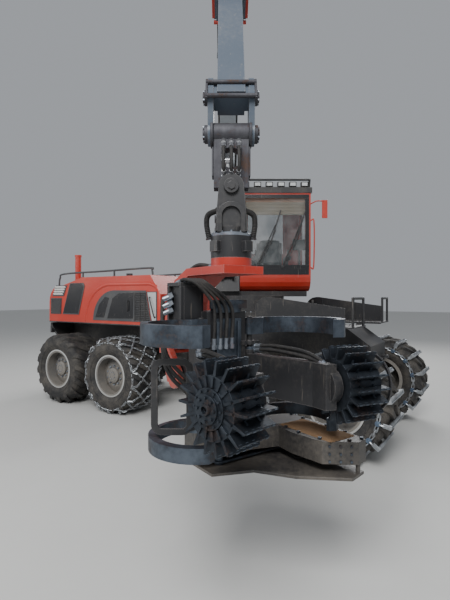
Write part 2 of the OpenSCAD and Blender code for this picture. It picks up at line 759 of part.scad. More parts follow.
lift_angle = atan2(lift_bz - lift_a[1], lift_bu - lift_a[0]);
jib_a = [main_len - 1750, 320];
jib_lever = [-300, 120];
jib_b = [main_len + jib_lever[0] * cos(fold_rest) + jib_lever[1] * sin(fold_rest),
  -jib_lever[0] * sin(fold_rest) + jib_lever[1] * cos(fold_rest)];
jib_len = norm(jib_b - jib_a);
jib_angle = atan2(jib_b[1] - jib_a[1], jib_b[0] - jib_a[0]);
module jib_barrel() {
  color(black) boom() translate([jib_a[0], 0, jib_a[1]]) rotate([0, -jib_angle, 0])
    difference() {
      union() {
        cross(50, 120);
        rotate([0, 90, 0]) cylinder(r = 50, h = 1080);
      }
      cross(24 + run, 122);
      translate([200, 0, 0]) rotate([0, 90, 0]) cylinder(r = 28 + run, h = 1000);
    }
}
module jib_rod() {
  color(steel) boom() translate([jib_a[0], 0, jib_a[1]]) rotate([0, -jib_angle, 0]) {
    translate([jib_len - 1180, 0, 0]) rotate([0, 90, 0]) cylinder(r = 28, h = 1140);
    translate([jib_len, 0, 0]) cross(50, 90);
  }
}

// Steering cylinders: from the rear frame's ears to the front frame's ears
steer_dx = front_steer_x + rear_steer_x;
steer_dy = front_steer_y - rear_steer_y;
steer_len = norm([steer_dx, steer_dy]);
steer_angle = atan2(steer_dy, steer_dx);
module at_steer(side) machine() mirror([0, side > 0 ? 0 : 1, 0])
  translate([-steer_x - rear_steer_x, rear_steer_y, steer_z]) rotate([0, 0, steer_angle]) children();
module steer_barrel(side) {
  color(black) at_steer(side) difference() {
    union() {
      translate([0, 0, -50]) cylinder(r = eye_r, h = 100);
      rotate([0, 90, 0]) cylinder(r = 48, h = 700);
    }
    translate([0, 0, -60]) cylinder(r = 25 + run, h = 120);
    translate([100, 0, 0]) rotate([0, 90, 0]) cylinder(r = rod_r + run, h = 700);
  }
}
module steer_rod(side) {
  color(steel) at_steer(side) {
    translate([steer_len - 640, 0, 0]) rotate([0, 90, 0]) cylinder(r = rod_r, h = 600);
    translate([steer_len, 0, -50]) cylinder(r = eye_r, h = 100);
  }
}

// Tip link: swings fore and aft on the tip pin, then sideways, and carries the rotator
module link_upper() {
  w = 238;
  color(red) crane() translate([tip_u, 0, 0]) difference() {
    union() {
      translate([0, 0, tip_z]) cross(tip_pin_r, 380);
      translate([0, 0, tip_z]) cross(75, w);
      translate([0, 0, (tip_z + roll_z) / 2]) cube([110, w, link_len], center = true);
      translate([0, 0, roll_z]) rotate([0, 90, 0]) cylinder(r = 75, h = 110, center = true);
    }
    translate([0, 0, roll_z]) rotate([0, 90, 0]) cylinder(r = 28 + run, h = 120, center = true);
    translate([0, 0, (tip_z + roll_z) / 2 + 15]) rotate([0, 90, 0])
      cylinder(r = 70, h = 120, center = true);
  }
}
module link_lower() {
  color(steel) crane() translate([tip_u, 0, 0]) {
    for (s = [-1, 1]) translate([s * 80, 0, 0]) rotate([0, 0, 90]) slab(36) {
      translate([0, roll_z]) circle(r = 85);
      polygon([[-85, roll_z], [85, roll_z], [110, rotator_top + 30], [-110, rotator_top + 30]]);
    }
    translate([0, 0, roll_z]) rotate([0, 90, 0]) cylinder(r = 28, h = 220, center = true);
    translate([0, 0, rotator_top]) cylinder(r = 115, h = 60);
  }
}
module rotator() {
  color(black) tip() {
    translate([0, 0, rotator_low]) cylinder(r = rotator_r, h = rotator_h);
    for (a = [0, 90, 180, 270]) rotate([0, 0, a + 45])
      translate([rotator_r - 10, -35, rotator_low + 40]) cube([40, 70, 70]);
  }
}

// Head: a frame that tilts on an axle behind the column. Its heights are in its own frame, which
// hangs so that the plate under the rotator is at plate_z
plate_z = 2204.2;
module tilt_frame() {
  w = 2 * (column_l + 50);
  color(red) head() difference() {
    union() {
      translate([0, 0, plate_z + 50]) cylinder(r = rotator_r, h = 60);
      slab(2 * column_l) polygon([
        [150, plate_z], [150, plate_z + 55], [-330, plate_z + 55], [-520, plate_z - 30],
        [-640, plate_z - 180], [-680, 1820], [-660, 1640], [-570, 1640],
        [-590, 1820], [-560, plate_z - 200], [-470, plate_z - 90], [-310, plate_z]
      ]);
      slab(w) polygon([[-670, 1610], [-670, 1720], [-575, 1720], [-575, 1610]]);
      both() translate([0, column_l + 27, 0]) slab(44) {
        polygon([[-670, 1720], [-575, 1720], [-380, 1500], [-370, 1420], [-540, 1400]]);
        translate([tilt_h, tilt_z]) circle(r = 85);
      }
    }
    translate([tilt_h, 0, tilt_z]) cross(tilt_pin_r + run, w + 20);
  }
}
saw_low = 950;
saw_top = 1150;
head_pin_r = 22;
// Pin beside the column, and the radius of the hubs that turn on it clear of the column
pin_h = -60;
pin_l = column_l + 45;
hub_r = pin_l - column_l - 5;
// Heights of the lugs that carry the pins of the arms and knives
HEAD_LUGS = [1280, 1705];
module head_frame() {
  color(black) head() difference() {
    union() {
      translate([-300, -column_l, 1000]) cube([250, 2 * column_l, 950]);
      slab(2 * column_l - 10) polygon([
        [-290, tilt_z - 150], [-290, tilt_z + 150], [tilt_h, tilt_z + 70], [tilt_h, tilt_z - 70]
      ]);
      translate([tilt_h, 0, tilt_z]) cross(70, 2 * column_l - 10);
      translate([tilt_h, 0, tilt_z]) cross(tilt_pin_r, 2 * column_l + 110);
      translate([-300, -column_l - 130, 1910]) cube([230, 150, 180]);
      translate([0, 0, saw_low]) linear_extrude(saw_top - saw_low) polygon([
        [-300, -200], [380, -200], [450, -130], [450, 520], [300, 720], [-150, 720], [-300, 570]
      ]);
      translate([0, 0, saw_low - 80]) linear_extrude(20) polygon([
        [-300, -200], [330, -200], [430, -100], [430, 500], [290, 690], [-150, 690], [-300, 560]
      ]);
      translate([-300, -200, saw_low - 80]) cube([90, 760, 90]);
      both() for (z = HEAD_LUGS) translate([pin_h, pin_l, z]) cylinder(r = 42, h = 30);
      both() for (z = HEAD_LUGS) translate([pin_h - 80, pin_l - 110, z]) cube([100, 110, 30]);
      both() translate([pin_h, pin_l, saw_top - 1]) cylinder(r = head_pin_r, h = 760);
    }
  }
}
// Feed arm on the left: a plate from the vertical pin to the roller's motor
arm_dir = [cos(roller_yaw), sin(roller_yaw)];
module feed_arm(side) {
  color(black) head_side(side) difference() {
    union() {
      translate([pin_h, pin_l, 1330]) cylinder(r = hub_r, h = 340);
      translate([0, 0, 1360]) linear_extrude(280) polygon([
        [pin_h, pin_l - hub_r], [pin_h + 10, pin_l + 45], [roller_h - 80, roller_l - 130], [roller_h + 40, roller_l - 160],
        [roller_h + 20, roller_l - 230], [roller_h - 100, roller_l - 220]
      ]);
      translate([roller_h, roller_l, arm_z]) rotate([0, 90, roller_yaw])
        translate([0, 0, -roller_w / 2 - 70]) cylinder(r = 110, h = 62);
      translate([roller_h, roller_l, arm_z]) rotate([0, 90, roller_yaw])
        translate([0, 0, -roller_w / 2 - 20]) cylinder(r = 60, h = roller_w / 2 + 40);
    }
    translate([pin_h, pin_l, 1300]) cylinder(r = head_pin_r + run, h = 400);
  }
}
// Feed roller on the left, its free face outward
module feed_roller(side) {
  core = roller_r - 55;
  color(steel) head_side(side) translate([roller_h, roller_l, arm_z]) rotate([0, 90, roller_yaw])
    difference() {
      union() {
        translate([0, 0, -roller_w / 2]) cylinder(r = core, h = roller_w, $fn = 72);
        intersection() {
          for (i = [0 : paddle_n - 1]) rotate([0, 0, 360 / paddle_n * i])
            translate([core - 20, -8, -roller_w / 2]) cube([90, 16, roller_w]);
          translate([0, 0, -roller_w / 2]) cylinder(r = roller_r, h = roller_w, $fn = 72);
        }
      }
      translate([0, 0, -roller_w / 2 - 1]) cylinder(r = 60 + run, h = roller_w / 2 + 22);
      translate([0, 0, roller_w / 2 - 60]) cylinder(r = core - 40, h = 61);
    }
}
// Delimbing knife on the left between two heights: a curved blade on the vertical pin
module knife(side, z, h, r) {
  c = [220, pin_l + 0.62 * r];
  color(steel) head_side(side) difference() {
    union() {
      translate([pin_h, pin_l, z]) cylinder(r = hub_r, h = h);
      intersection() {
        translate([c[0], c[1], z]) difference() {
          cylinder(r = r, h = h, $fn = 64);
          translate([-12, -12, -1]) cylinder(r = r - 40, h = h + 2, $fn = 64);
        }
        translate([0, 0, z]) linear_extrude(h)
          polygon([[c[0], c[1]], [-500, c[1] - 330], [-500, 1400], [900, 1400], [c[0] + 260, c[1] + 60]]);
      }
      translate([0, 0, z]) linear_extrude(h)
        polygon([[pin_h, pin_l + hub_r], [pin_h + 40, pin_l - 30], [c[0] - r + 95, c[1] - 110], [c[0] - r + 20, c[1] - 40]]);
    }
    translate([pin_h, pin_l, z - 1]) cylinder(r = head_pin_r + run, h = h + 2);
  }
}
module saw_bar() {
  color(steel) head() translate([-60, -60, saw_low - 45]) {
    linear_extrude(14) {
      polygon([[-45, 0], [45, 0], [38, bar_len - 40], [-38, bar_len - 40]]);
      circle(r = 45);
      translate([0, bar_len - 40]) circle(r = 38);
    }
    translate([0, 0, -14.7]) cylinder(r = 30, h = 59.4);
  }
}

rear_chassis();
rear_bumper();
engine_block();
hood_shell();
hood_fittings();
front_chassis();
fender_decks();
bogie(1, true);  // bogie_front_left
bogie(-1, true);  // bogie_front_right
bogie(1, false);  // bogie_rear_left
bogie(-1, false);  // bogie_rear_right
for (w = WHEELS) {
  at_wheel(w) tyre(w[4]);
  at_wheel(w) rim();
}
crane_base();
cab_shell();
cab_roof();
cab_glass();
seat_base();
seat_pads();
cab_door();
door_glass();
main_boom();
outer_boom();
extension_boom();
link_upper();
link_lower();
rotator();
tilt_frame();
head_frame();
feed_arm(1);  // feed_arm_left
feed_arm(-1);  // feed_arm_right
feed_roller(1);  // feed_roller_left
feed_roller(-1);  // feed_roller_right
knife(1, 1780, 120, 330);  // top_knife_left
knife(-1, 1780, 120, 330);  // top_knife_right
knife(1, 1160, 85, 300);  // low_knife_left
knife(-1, 1160, 85, 300);  // low_knife_right
saw_bar();
lift_barrel();
lift_rod();
jib_barrel();
jib_rod();
steer_barrel(1);  // steer_barrel_left
steer_rod(1);  // steer_rod_left
steer_barrel(-1);  // steer_barrel_right
steer_rod(-1);  // steer_rod_right
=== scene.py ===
# %% [markdown]
# # A forestry harvester, dressed for its portrait
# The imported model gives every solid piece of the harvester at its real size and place. This lesson adds
# what the solids leave out: paint, rubber and glass, the tyre chains, hoses, lamps, grilles and the cab's
# inside. The frame is loaded first, so that each piece added later can be placed by a joint or by a solid
# and not by eye.

# %% Load the frame
import bpy
import bmesh
import json
import math
import random
from mathutils import Matrix, Vector


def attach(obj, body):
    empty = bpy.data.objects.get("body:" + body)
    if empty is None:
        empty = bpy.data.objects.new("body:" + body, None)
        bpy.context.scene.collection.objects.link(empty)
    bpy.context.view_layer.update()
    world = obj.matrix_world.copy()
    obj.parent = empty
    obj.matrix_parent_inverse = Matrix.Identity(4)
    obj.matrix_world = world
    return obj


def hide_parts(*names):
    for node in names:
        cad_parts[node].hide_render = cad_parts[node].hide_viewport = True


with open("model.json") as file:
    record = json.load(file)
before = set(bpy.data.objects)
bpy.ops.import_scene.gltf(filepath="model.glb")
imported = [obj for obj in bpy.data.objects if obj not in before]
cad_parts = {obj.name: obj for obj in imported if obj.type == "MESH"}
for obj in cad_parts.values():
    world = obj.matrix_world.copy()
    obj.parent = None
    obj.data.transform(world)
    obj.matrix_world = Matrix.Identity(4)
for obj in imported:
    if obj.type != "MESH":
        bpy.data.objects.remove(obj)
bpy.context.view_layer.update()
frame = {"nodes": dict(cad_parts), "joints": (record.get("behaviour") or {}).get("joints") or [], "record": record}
NODES = frame["nodes"]
JOINTS = {j["name"]: j for j in frame["joints"]}

# %% [markdown]
# ## Frames of reference
# A harvester is a chain of turned frames: the machine under its slewing axis, the upper part, the main
# boom, the outer boom and the head. Each frame here is a matrix worked out from the joints, so a hose on
# the boom is drawn along the boom's own x axis. Building in local frames is easier to read than world
# coordinates with angles folded in.

# %% Frames from the joints
UP = Vector((0, 0, 1))


def joint_pos(name):
    """Place of a hinge at rest, in metres."""
    return Vector(JOINTS[name]["pos_m"])


def joint_axis(name):
    """Direction of a joint's axis."""
    return Vector(JOINTS[name]["axis"]).normalized()


def frame_at(origin, x_axis, z_axis=UP):
    """Matrix of a frame with its x along x_axis and its z near z_axis."""
    x = Vector(x_axis).normalized()
    y = Vector(z_axis).cross(x).normalized()
    z = x.cross(y)
    m = Matrix((x, y, z)).transposed().to_4x4()
    m.translation = origin
    return m


def ground(p):
    """The point of the floor under p."""
    return Vector((p.x, p.y, 0))


SLEW = joint_pos("slew")
SIDEWAYS = joint_axis("lift")
AHEAD = SIDEWAYS.cross(UP)
MACHINE = Matrix.Translation(ground(SLEW))
UPPER = frame_at(ground(SLEW), AHEAD)
KNUCKLE = joint_pos("jib")
TIP = joint_pos("link_swing")
BOOM = frame_at(joint_pos("lift"), KNUCKLE - joint_pos("lift"))
OUTER = frame_at(KNUCKLE, TIP - KNUCKLE, AHEAD)
HEAD_LEFT = joint_axis("head_tilt")
HEAD = frame_at(ground(joint_pos("rotator_turn")), HEAD_LEFT.cross(UP))
CRANE = frame_at(ground(joint_pos("lift")), AHEAD)
TIP_FRAME = frame_at(ground(TIP), AHEAD)
print("reach", round((TIP - SLEW).length, 2), "m")

# %% [markdown]
# ## Camera, floor and light
# The photograph was taken with a wide lens held level at eye height, so the camera is level too and the
# wheels run away fast behind the head. A large soft lamp overhead and a pale world give the even light of
# an overcast clearing.

# %% Camera
FOCAL_PX = 433
HORIZON_PX = 297
PHOTO_H = 600
SENSOR_MM = 36
EYE = MACHINE @ Vector((3.75, -6.66, 2.05))
LOOK = Vector((-0.5446, 0.8387, 0))

camera_data = bpy.data.cameras.new("camera")
camera_data.sensor_fit = "VERTICAL"
camera_data.sensor_height = SENSOR_MM
camera_data.lens = SENSOR_MM * FOCAL_PX / PHOTO_H
camera_data.shift_y = (HORIZON_PX - PHOTO_H / 2) / PHOTO_H
camera_data.clip_end = 200
camera = bpy.data.objects.new("camera", camera_data)
camera.matrix_world = Matrix.Translation(EYE) @ LOOK.to_track_quat("-Z", "Y").to_matrix().to_4x4()
bpy.context.collection.objects.link(camera)
bpy.context.scene.camera = camera
print("lens", round(camera_data.lens, 1), "mm")

# %% Floor and lights
FLOOR_SIZE = 120


def lamp(name, at, size, power, aim):
    """A soft square lamp that shines at a point."""
    data = bpy.data.lights.new(name, "AREA")
    data.size = size
    data.energy = power
    ob = bpy.data.objects.new(name, data)
    ob.matrix_world = Matrix.Translation(at) @ (aim - at).to_track_quat("-Z", "Y").to_matrix().to_4x4()
    bpy.context.collection.objects.link(ob)


middle = MACHINE @ Vector((0, -1, 1.8))
lamp("key", MACHINE @ Vector((5, -12, 11)), 6, 2000, middle)
lamp("fill", MACHINE @ Vector((-9, -9, 6)), 6, 330, middle)
lamp("rim", MACHINE @ Vector((-2, 9, 9)), 6, 800, middle)

world = bpy.data.worlds.new("world")
bpy.context.scene.world = world
world.use_nodes = True
world.node_tree.nodes["Background"].inputs["Color"].default_value = (0.90, 0.94, 1.0, 1)
world.node_tree.nodes["Background"].inputs["Strength"].default_value = 0.40

floor_mesh = bpy.data.meshes.new("floor")
half = FLOOR_SIZE / 2
corners = [(-half, -half, 0), (half, -half, 0), (half, half, 0), (-half, half, 0)]
floor_mesh.from_pydata(corners, [], [(0, 1, 2, 3)])
floor = bpy.data.objects.new("floor", floor_mesh)
bpy.context.collection.objects.link(floor)
print("floor", FLOOR_SIZE, "m wide")

# %% [markdown]
# ## Shader maths as sentences
# Paint wear is arithmetic on textures: noise times a mask plus a floor. Wiring those sums by hand is hard
# to read, so this class wraps a socket and lets Python's own operators add the Math nodes. Colours go
# through Mix nodes, because a Math node would turn them grey.

# %% A socket that does maths
class Value:
    """A number socket in a material, with Python's operators."""

    def __init__(self, shader, socket):
        self.shader = shader
        self.socket = socket

    def _math(self, operation, a, b):
        return self.shader.node("ShaderNodeMath", {"operation": operation}, {0: a, 1: b})

    def __add__(self, other):
        return self._math("ADD", self, other)

    def __radd__(self, other):
        return self._math("ADD", other, self)

    def __sub__(self, other):
        return self._math("SUBTRACT", self, other)

    def __rsub__(self, other):
        return self._math("SUBTRACT", other, self)

    def __mul__(self, other):
        return self._math("MULTIPLY", self, other)

    def __rmul__(self, other):
        return self._math("MULTIPLY", other, self)


def opaque(colour):
    """A colour's three numbers with full cover added. A linked colour stays as it is."""
    return colour if isinstance(colour, Value) else (*colour, 1)


class Shader:
    """A material and short calls for its nodes."""

    def __init__(self, name, **constants):
        self.material = bpy.data.materials.new(name)
        self.material.use_nodes = True
        self.tree = self.material.node_tree
        self.surface = self.tree.nodes["Principled BSDF"]
        for key, value in constants.items():
            self.surface.inputs[key.replace("_", " ")].default_value = value

    def node(self, kind, settings=None, inputs=None, out=0):
        """Adds a node of one kind: its settings first, then its sockets' values or links."""
        n = self.tree.nodes.new(kind)
        for key, value in (settings or {}).items():
            setattr(n, key, value)
        for key, value in (inputs or {}).items():
            socket = n.inputs[key]
            if isinstance(value, Value):
                self.tree.links.new(value.socket, socket)
            else:
                socket.default_value = value
        return Value(self, n.outputs[out])

    def feed(self, key, value):
        """Links a value to the surface."""
        self.tree.links.new(value.socket, self.surface.inputs[key])

    def place(self):
        """Object coordinates, in metres."""
        return self.node("ShaderNodeTexCoord", out="Object")

    def height(self):
        """Height over the floor, in metres."""
        return self.node("ShaderNodeSeparateXYZ", None, {0: self.place()}, out="Z")

    def noise(self, scale, detail=4.0, rough=0.55, stretch=None):
        """Cloudy noise from 0 to 1, stretched along the axes where asked."""
        at = self.place()
        if stretch:
            at = self.node("ShaderNodeVectorMath", {"operation": "MULTIPLY"}, {0: at, 1: stretch})
        return self.node("ShaderNodeTexNoise", None,
                         {"Vector": at, "Scale": scale, "Detail": detail, "Roughness": rough})

    def ramp(self, value, low, high):
        """A value stretched so that low becomes 0 and high becomes 1."""
        return self.node("ShaderNodeMapRange", {"interpolation_type": "SMOOTHSTEP"},
                         {"Value": value, "From Min": low, "From Max": high})

    def mix(self, factor, a, b):
        """Colour a where the factor is 0 and b where it is 1."""
        colours = {0: factor, 6: opaque(a), 7: opaque(b)}
        return self.node("ShaderNodeMix", {"data_type": "RGBA"}, colours, out=2)

    def edge_wear(self, width=0.012, amount=0.55):
        """A mask that is near 1 on sharp edges, from the difference of two bevelled normals."""
        bevel = self.node("ShaderNodeBevel", {"samples": 4}, {"Radius": width})
        normal = self.node("ShaderNodeNewGeometry", out="Normal")
        dot = self.node("ShaderNodeVectorMath", {"operation": "DOT_PRODUCT"}, {0: bevel, 1: normal},
                        out="Value")
        return self.ramp(1 - dot, 0.02, amount)

    def bump(self, value, distance):
        """Feeds a height to the surface's normal."""
        self.feed("Normal", self.node("ShaderNodeBump", None, {"Height": value, "Distance": distance}))


print("shader helper ready")

# %% [markdown]
# ## Paint
# A harvester's paint is never clean. Dust settles low and in broad clouds, twigs leave fine scratches, and
# bare steel shows where edges rub. Dust and wear are masks: they mix the paint's colour and raise its
# roughness in one recipe with a few numbers for each paint, which keeps the whole machine in one light.

# %% Paint recipe
DUST = (0.30, 0.26, 0.21)
BARE_EDGE = (0.33, 0.31, 0.30)


def paint(name, colour, shade, rough=0.36, dust=0.35, wear=0.5, coat=0.15, low=1.6):
    """Painted steel: two tones of colour, dust that thickens below a height, and worn edges."""
    s = Shader(name, Coat_Weight=coat, Coat_Roughness=0.25)
    clouds = s.noise(1.7, 5)
    specks = s.noise(38, 3, 0.7)
    scratches = s.ramp(s.noise(60, 2, 0.5, (1, 1, 0.08)), 0.66, 0.74)
    near_floor = 1 - s.ramp(s.height(), 0.2, low)
    dusty = s.ramp(clouds * 0.7 + specks * 0.3 + near_floor * 0.28, 0.48, 0.86) * dust
    worn = s.ramp(s.edge_wear() * 0.9 + specks * 0.5, 0.62, 0.95) * wear
    base = s.mix(clouds, colour, shade)
    base = s.mix(scratches * 0.25, base, DUST)
    base = s.mix(dusty, base, DUST)
    base = s.mix(worn, base, BARE_EDGE)
    s.feed("Base Color", base)
    s.feed("Roughness", rough + dusty * 0.5 + specks * 0.1 + scratches * 0.1)
    s.feed("Metallic", worn * 0.7)
    s.bump(specks * 0.4 + worn * 0.6, 0.0006)
    return s.material


RED = paint("red_paint", (0.42, 0.024, 0.012), (0.55, 0.040, 0.018), coat=0.35, dust=0.28)
RED_WORN = paint("red_paint_worn", (0.36, 0.022, 0.012), (0.48, 0.036, 0.018), dust=0.5, wear=0.85, low=2.6)
BLACK = paint("black_paint", (0.012, 0.012, 0.014), (0.024, 0.024, 0.026), 0.42, dust=0.4)
DARK = paint("dark_panel", (0.045, 0.048, 0.052), (0.07, 0.073, 0.078), 0.5, dust=0.35, coat=0)
GLOSS_BLACK = paint("gloss_black", (0.008, 0.008, 0.010), (0.014, 0.014, 0.016), 0.16, dust=0.12, coat=0.6)
LIGHT_GREY = paint("light_grey_panel", (0.40, 0.41, 0.41), (0.50, 0.51, 0.50), 0.45, dust=0.3)
WHITE = paint("white_panel", (0.72, 0.72, 0.70), (0.82, 0.82, 0.80), 0.4, dust=0.3)
BOOM_BLUE = paint("boom_blue_grey", (0.050, 0.068, 0.095), (0.085, 0.11, 0.145), 0.45, dust=0.4, wear=0.7)
BOOM_GREY = paint("crane_grey", (0.16, 0.18, 0.20), (0.23, 0.25, 0.27), 0.45, dust=0.35, wear=0.6)
RIM_GREY = paint("rim_grey", (0.07, 0.075, 0.08), (0.12, 0.125, 0.13), 0.5, dust=0.5, wear=0.8, low=2.2)
print("paints ready")

# %% [markdown]
# ## Steel and rubber
# Knives and rollers are bare steel polished by bark, with rust where nothing rubs. Tyres and hoses are
# rubber, told apart by the dust on them. Each is its own short recipe, because each surface is lit in its
# own way: metal by reflections, rubber by its dull sheen.

# %% Steel and rubber
def steel(name, bright, dark, rust, rough=0.34, rusty=0.5):
    """Bare steel: brushed bright, blued dark, and rust in patches."""
    s = Shader(name)
    clouds = s.noise(6, 5, 0.6)
    fine = s.noise(70, 4, 0.65)
    brushed = s.noise(90, 2, 0.5, (1, 1, 0.06))
    rusted = s.ramp(clouds * 0.65 + fine * 0.35, 0.5, 0.64) * rusty
    base = s.mix(s.ramp(clouds, 0.35, 0.65), bright, dark)
    base = s.mix(rusted, base, rust)
    s.feed("Base Color", base)
    s.feed("Metallic", 0.92 - rusted * 0.8)
    s.feed("Roughness", rough + brushed * 0.18 + rusted * 0.4)
    s.bump(fine * 0.5 + brushed * 0.5, 0.0008)
    return s.material


WORN_STEEL = steel("worn_steel", (0.36, 0.39, 0.43), (0.17, 0.20, 0.25), (0.16, 0.075, 0.035))
CHAIN_STEEL = steel("chain_steel", (0.50, 0.52, 0.54), (0.28, 0.30, 0.32), (0.17, 0.09, 0.05), rusty=0.35)
CHAIN_BLUE = steel("chain_connector", (0.20, 0.27, 0.36), (0.10, 0.14, 0.21), (0.16, 0.10, 0.07), rusty=0.25)
IRON = steel("cast_iron", (0.10, 0.10, 0.11), (0.06, 0.06, 0.07), (0.13, 0.07, 0.04), 0.6, 0.6)
HEAD_STEEL = steel("head_steel", (0.13, 0.155, 0.19), (0.045, 0.055, 0.07), (0.09, 0.05, 0.03), 0.36, 0.45)
HEAD_DARK = steel("head_dark_steel", (0.06, 0.07, 0.085), (0.025, 0.03, 0.038), (0.08, 0.045, 0.03), 0.42)
CHROME = steel("polished_rod", (0.75, 0.76, 0.78), (0.62, 0.63, 0.66), (0.2, 0.15, 0.1), 0.08, 0.0)


def rubber(name, colour, dust):
    """Dull rubber with dust in its grain."""
    s = Shader(name)
    clouds = s.noise(3.2, 5, 0.6)
    fine = s.noise(55, 4, 0.7)
    dusty = s.ramp(clouds * 0.6 + fine * 0.4, 0.40, 0.70) * dust
    s.feed("Base Color", s.mix(dusty, colour, (0.17, 0.15, 0.125)))
    s.feed("Roughness", 0.62 + fine * 0.2 + dusty * 0.1)
    s.bump(fine, 0.0012)
    return s.material


TYRE = rubber("tyre_rubber", (0.016, 0.016, 0.017), 0.62)
HOSE = rubber("hose_rubber", (0.011, 0.011, 0.012), 0.25)
PLASTIC = rubber("black_plastic", (0.018, 0.018, 0.019), 0.2)
print("steel and rubber ready")

# %% [markdown]
# ## Glass, lenses and cloth
# Window glass in the woods is hazy, and a lens is clear plastic over a reflector. Full refraction would be
# slow and dark behind a pane this thin, so the glass is a tinted surface with a low alpha, and each lens,
# cloth and plastic is one colour with a grain.

# %% Glass, lenses and cloth
def glass(name, tint, alpha):
    """Window glass with a haze of dust."""
    s = Shader(name, IOR=1.45, Roughness=0.04)
    haze = s.ramp(s.noise(3.0, 4, 0.6), 0.35, 0.8)
    s.feed("Base Color", s.mix(haze, tint, (0.45, 0.46, 0.46)))
    s.feed("Alpha", alpha + haze * 0.10)
    s.material.surface_render_method = "BLENDED"
    return s.material


GLASS = glass("window_glass", (0.10, 0.13, 0.14), 0.20)


def plain(name, colour, rough, grain=30.0, vary=0.25, **constants):
    """A plain moulded or powdery surface with a grain in colour and bump."""
    s = Shader(name, **constants)
    n = s.noise(grain, 4, 0.6)
    darker = tuple(c * (1 - vary) for c in colour)
    s.feed("Base Color", s.mix(n, colour, darker))
    s.feed("Roughness", rough + n * 0.12)
    s.bump(n, 0.001)
    return s.material


LENS = plain("lamp_lens", (0.78, 0.80, 0.80), 0.08, 120, 0.3, Coat_Weight=1.0)
AMBER = plain("amber_lens", (0.85, 0.28, 0.02), 0.15, 120, 0.3, Coat_Weight=0.8)
SAWDUST = plain("sawdust", (0.42, 0.25, 0.13), 0.85, 240, 0.55)
FABRIC = plain("seat_cloth", (0.05, 0.052, 0.058), 0.8, 420, 0.6, Sheen_Weight=0.4)
BLIND = plain("blind_cloth", (0.50, 0.43, 0.33), 0.8, 300, 0.2)
# Painted reflection: the peach of a reflection in the windscreen, given to a pleated band behind the glass.
PEACH_REFLECTION = plain("painted_reflection_peach", (0.72, 0.42, 0.27), 0.7, 300, 0.15)
FLOOR = plain("studio_floor", (0.60, 0.60, 0.58), 0.8, 2.5, 0.05)
floor_mesh.materials.append(FLOOR)
print("materials", len(bpy.data.materials))

# %% [markdown]
# ## Materials for the solids
# A solid whose shape is right stays and only takes a finish. The table gives a material to each of the
# record's slots, and a second table names the nodes that differ from their slot, such as the tilt frame,
# which is scratched more than the hood.

# %% Dress the solids
SLOT_FINISH = {
    "red_paint": RED, "black_paint": BLACK, "dark_panel": DARK, "cast_iron": IRON, "tyre_rubber": TYRE,
    "rim_grey": RIM_GREY, "glass": GLASS, "seat_frame": PLASTIC, "fabric": FABRIC, "crane_grey": BOOM_GREY,
    "boom_blue": BOOM_BLUE, "worn_steel": WORN_STEEL, "chrome_rod": CHROME,
}
NODE_FINISH = {
    "tilt_frame": RED_WORN, "link_upper": IRON, "link_lower": BLACK, "rotator": BLACK,
    "feed_roller_left": HEAD_DARK, "feed_roller_right": HEAD_DARK,
    "top_knife_left": HEAD_STEEL, "top_knife_right": HEAD_STEEL, "low_knife_left": HEAD_DARK,
    "low_knife_right": HEAD_STEEL, "saw_bar": HEAD_STEEL,
}
for part in frame["record"]["subparts"]:
    name = part["node"]
    finish = NODE_FINISH.get(name, SLOT_FINISH[part["material_slot"]])
    NODES[name].data.materials.clear()
    NODES[name].data.materials.append(finish)

# %% [markdown]
# ## Tools for making pieces
# Every piece is a mesh built in code and then bevelled a little, because a perfectly sharp edge never
# catches light. Shapes go into one bmesh through a local frame, and one call turns it into an object that
# rides on its body.

# %% Pieces, blocks and bars
def piece(name, shape, finish, body, bevel=0.0, smooth=True, frame_matrix=None):
    """Turns a bmesh into an object with a finish, in place and riding on a body."""
    if frame_matrix is not None:
        bmesh.ops.transform(shape, matrix=frame_matrix, verts=shape.verts)
    bmesh.ops.recalc_face_normals(shape, faces=shape.faces)
    mesh = bpy.data.meshes.new(name)
    shape.to_mesh(mesh)
    shape.free()
    ob = bpy.data.objects.new(name, mesh)
    bpy.context.collection.objects.link(ob)
    mesh.materials.append(finish)
    if smooth:
        mesh.polygons.foreach_set("use_smooth", [True] * len(mesh.polygons))
        mesh.set_sharp_from_angle(angle=math.radians(35))
    if bevel:
        b = ob.modifiers.new("bevel", "BEVEL")
        b.width = bevel
        b.segments = 2
        b.limit_method = "ANGLE"
        b.harden_normals = True
    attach(ob, body)
    return ob


def block(bm, low, high, turn=None):
    """A box between two corners, turned about its middle where asked."""
    low, high = Vector(low), Vector(high)
    size = high - low
    m = Matrix.Translation((low + high) / 2)
    if turn is not None:
        m = m @ turn
    m = m @ Matrix.Diagonal((*size, 1))
    return bmesh.ops.create_cube(bm, size=1, matrix=m)["verts"]


def rod(bm, a, b, r, sides=16, r2=None):
    """A round bar from a to b."""
    a, b = Vector(a), Vector(b)
    m = Matrix.Translation((a + b) / 2) @ (b - a).to_track_quat("Z", "Y").to_matrix().to_4x4()
    bmesh.ops.create_cone(bm, cap_ends=True, segments=sides, radius1=r, radius2=r if r2 is None else r2,
                          depth=(b - a).length, matrix=m)


print("pieces, blocks and bars ready")

# %% [markdown]
# ## Curves, skins and tubes
# A hose or a bent bar is a tube along a curve. Blender can bevel a curve object, but rings of points joined
# by one function give the same form with control over every ring, which the ribbed hoses need.

# %% Smooth paths, skins and tubes
def smooth_path(points, steps=8):
    """Points along a smooth curve through the given points."""
    p = [Vector(q) for q in points]
    p = [2 * p[0] - p[1]] + p + [2 * p[-1] - p[-2]]
    out = []
    for i in range(1, len(p) - 2):
        for k in range(steps):
            t = k / steps
            out.append(0.5 * (2 * p[i] + (p[i + 1] - p[i - 1]) * t
                              + (2 * p[i - 1] - 5 * p[i] + 4 * p[i + 1] - p[i + 2]) * t ** 2
                              + (3 * p[i] - p[i - 1] - 3 * p[i + 1] + p[i + 2]) * t ** 3))
    out.append(p[-2])
    return out


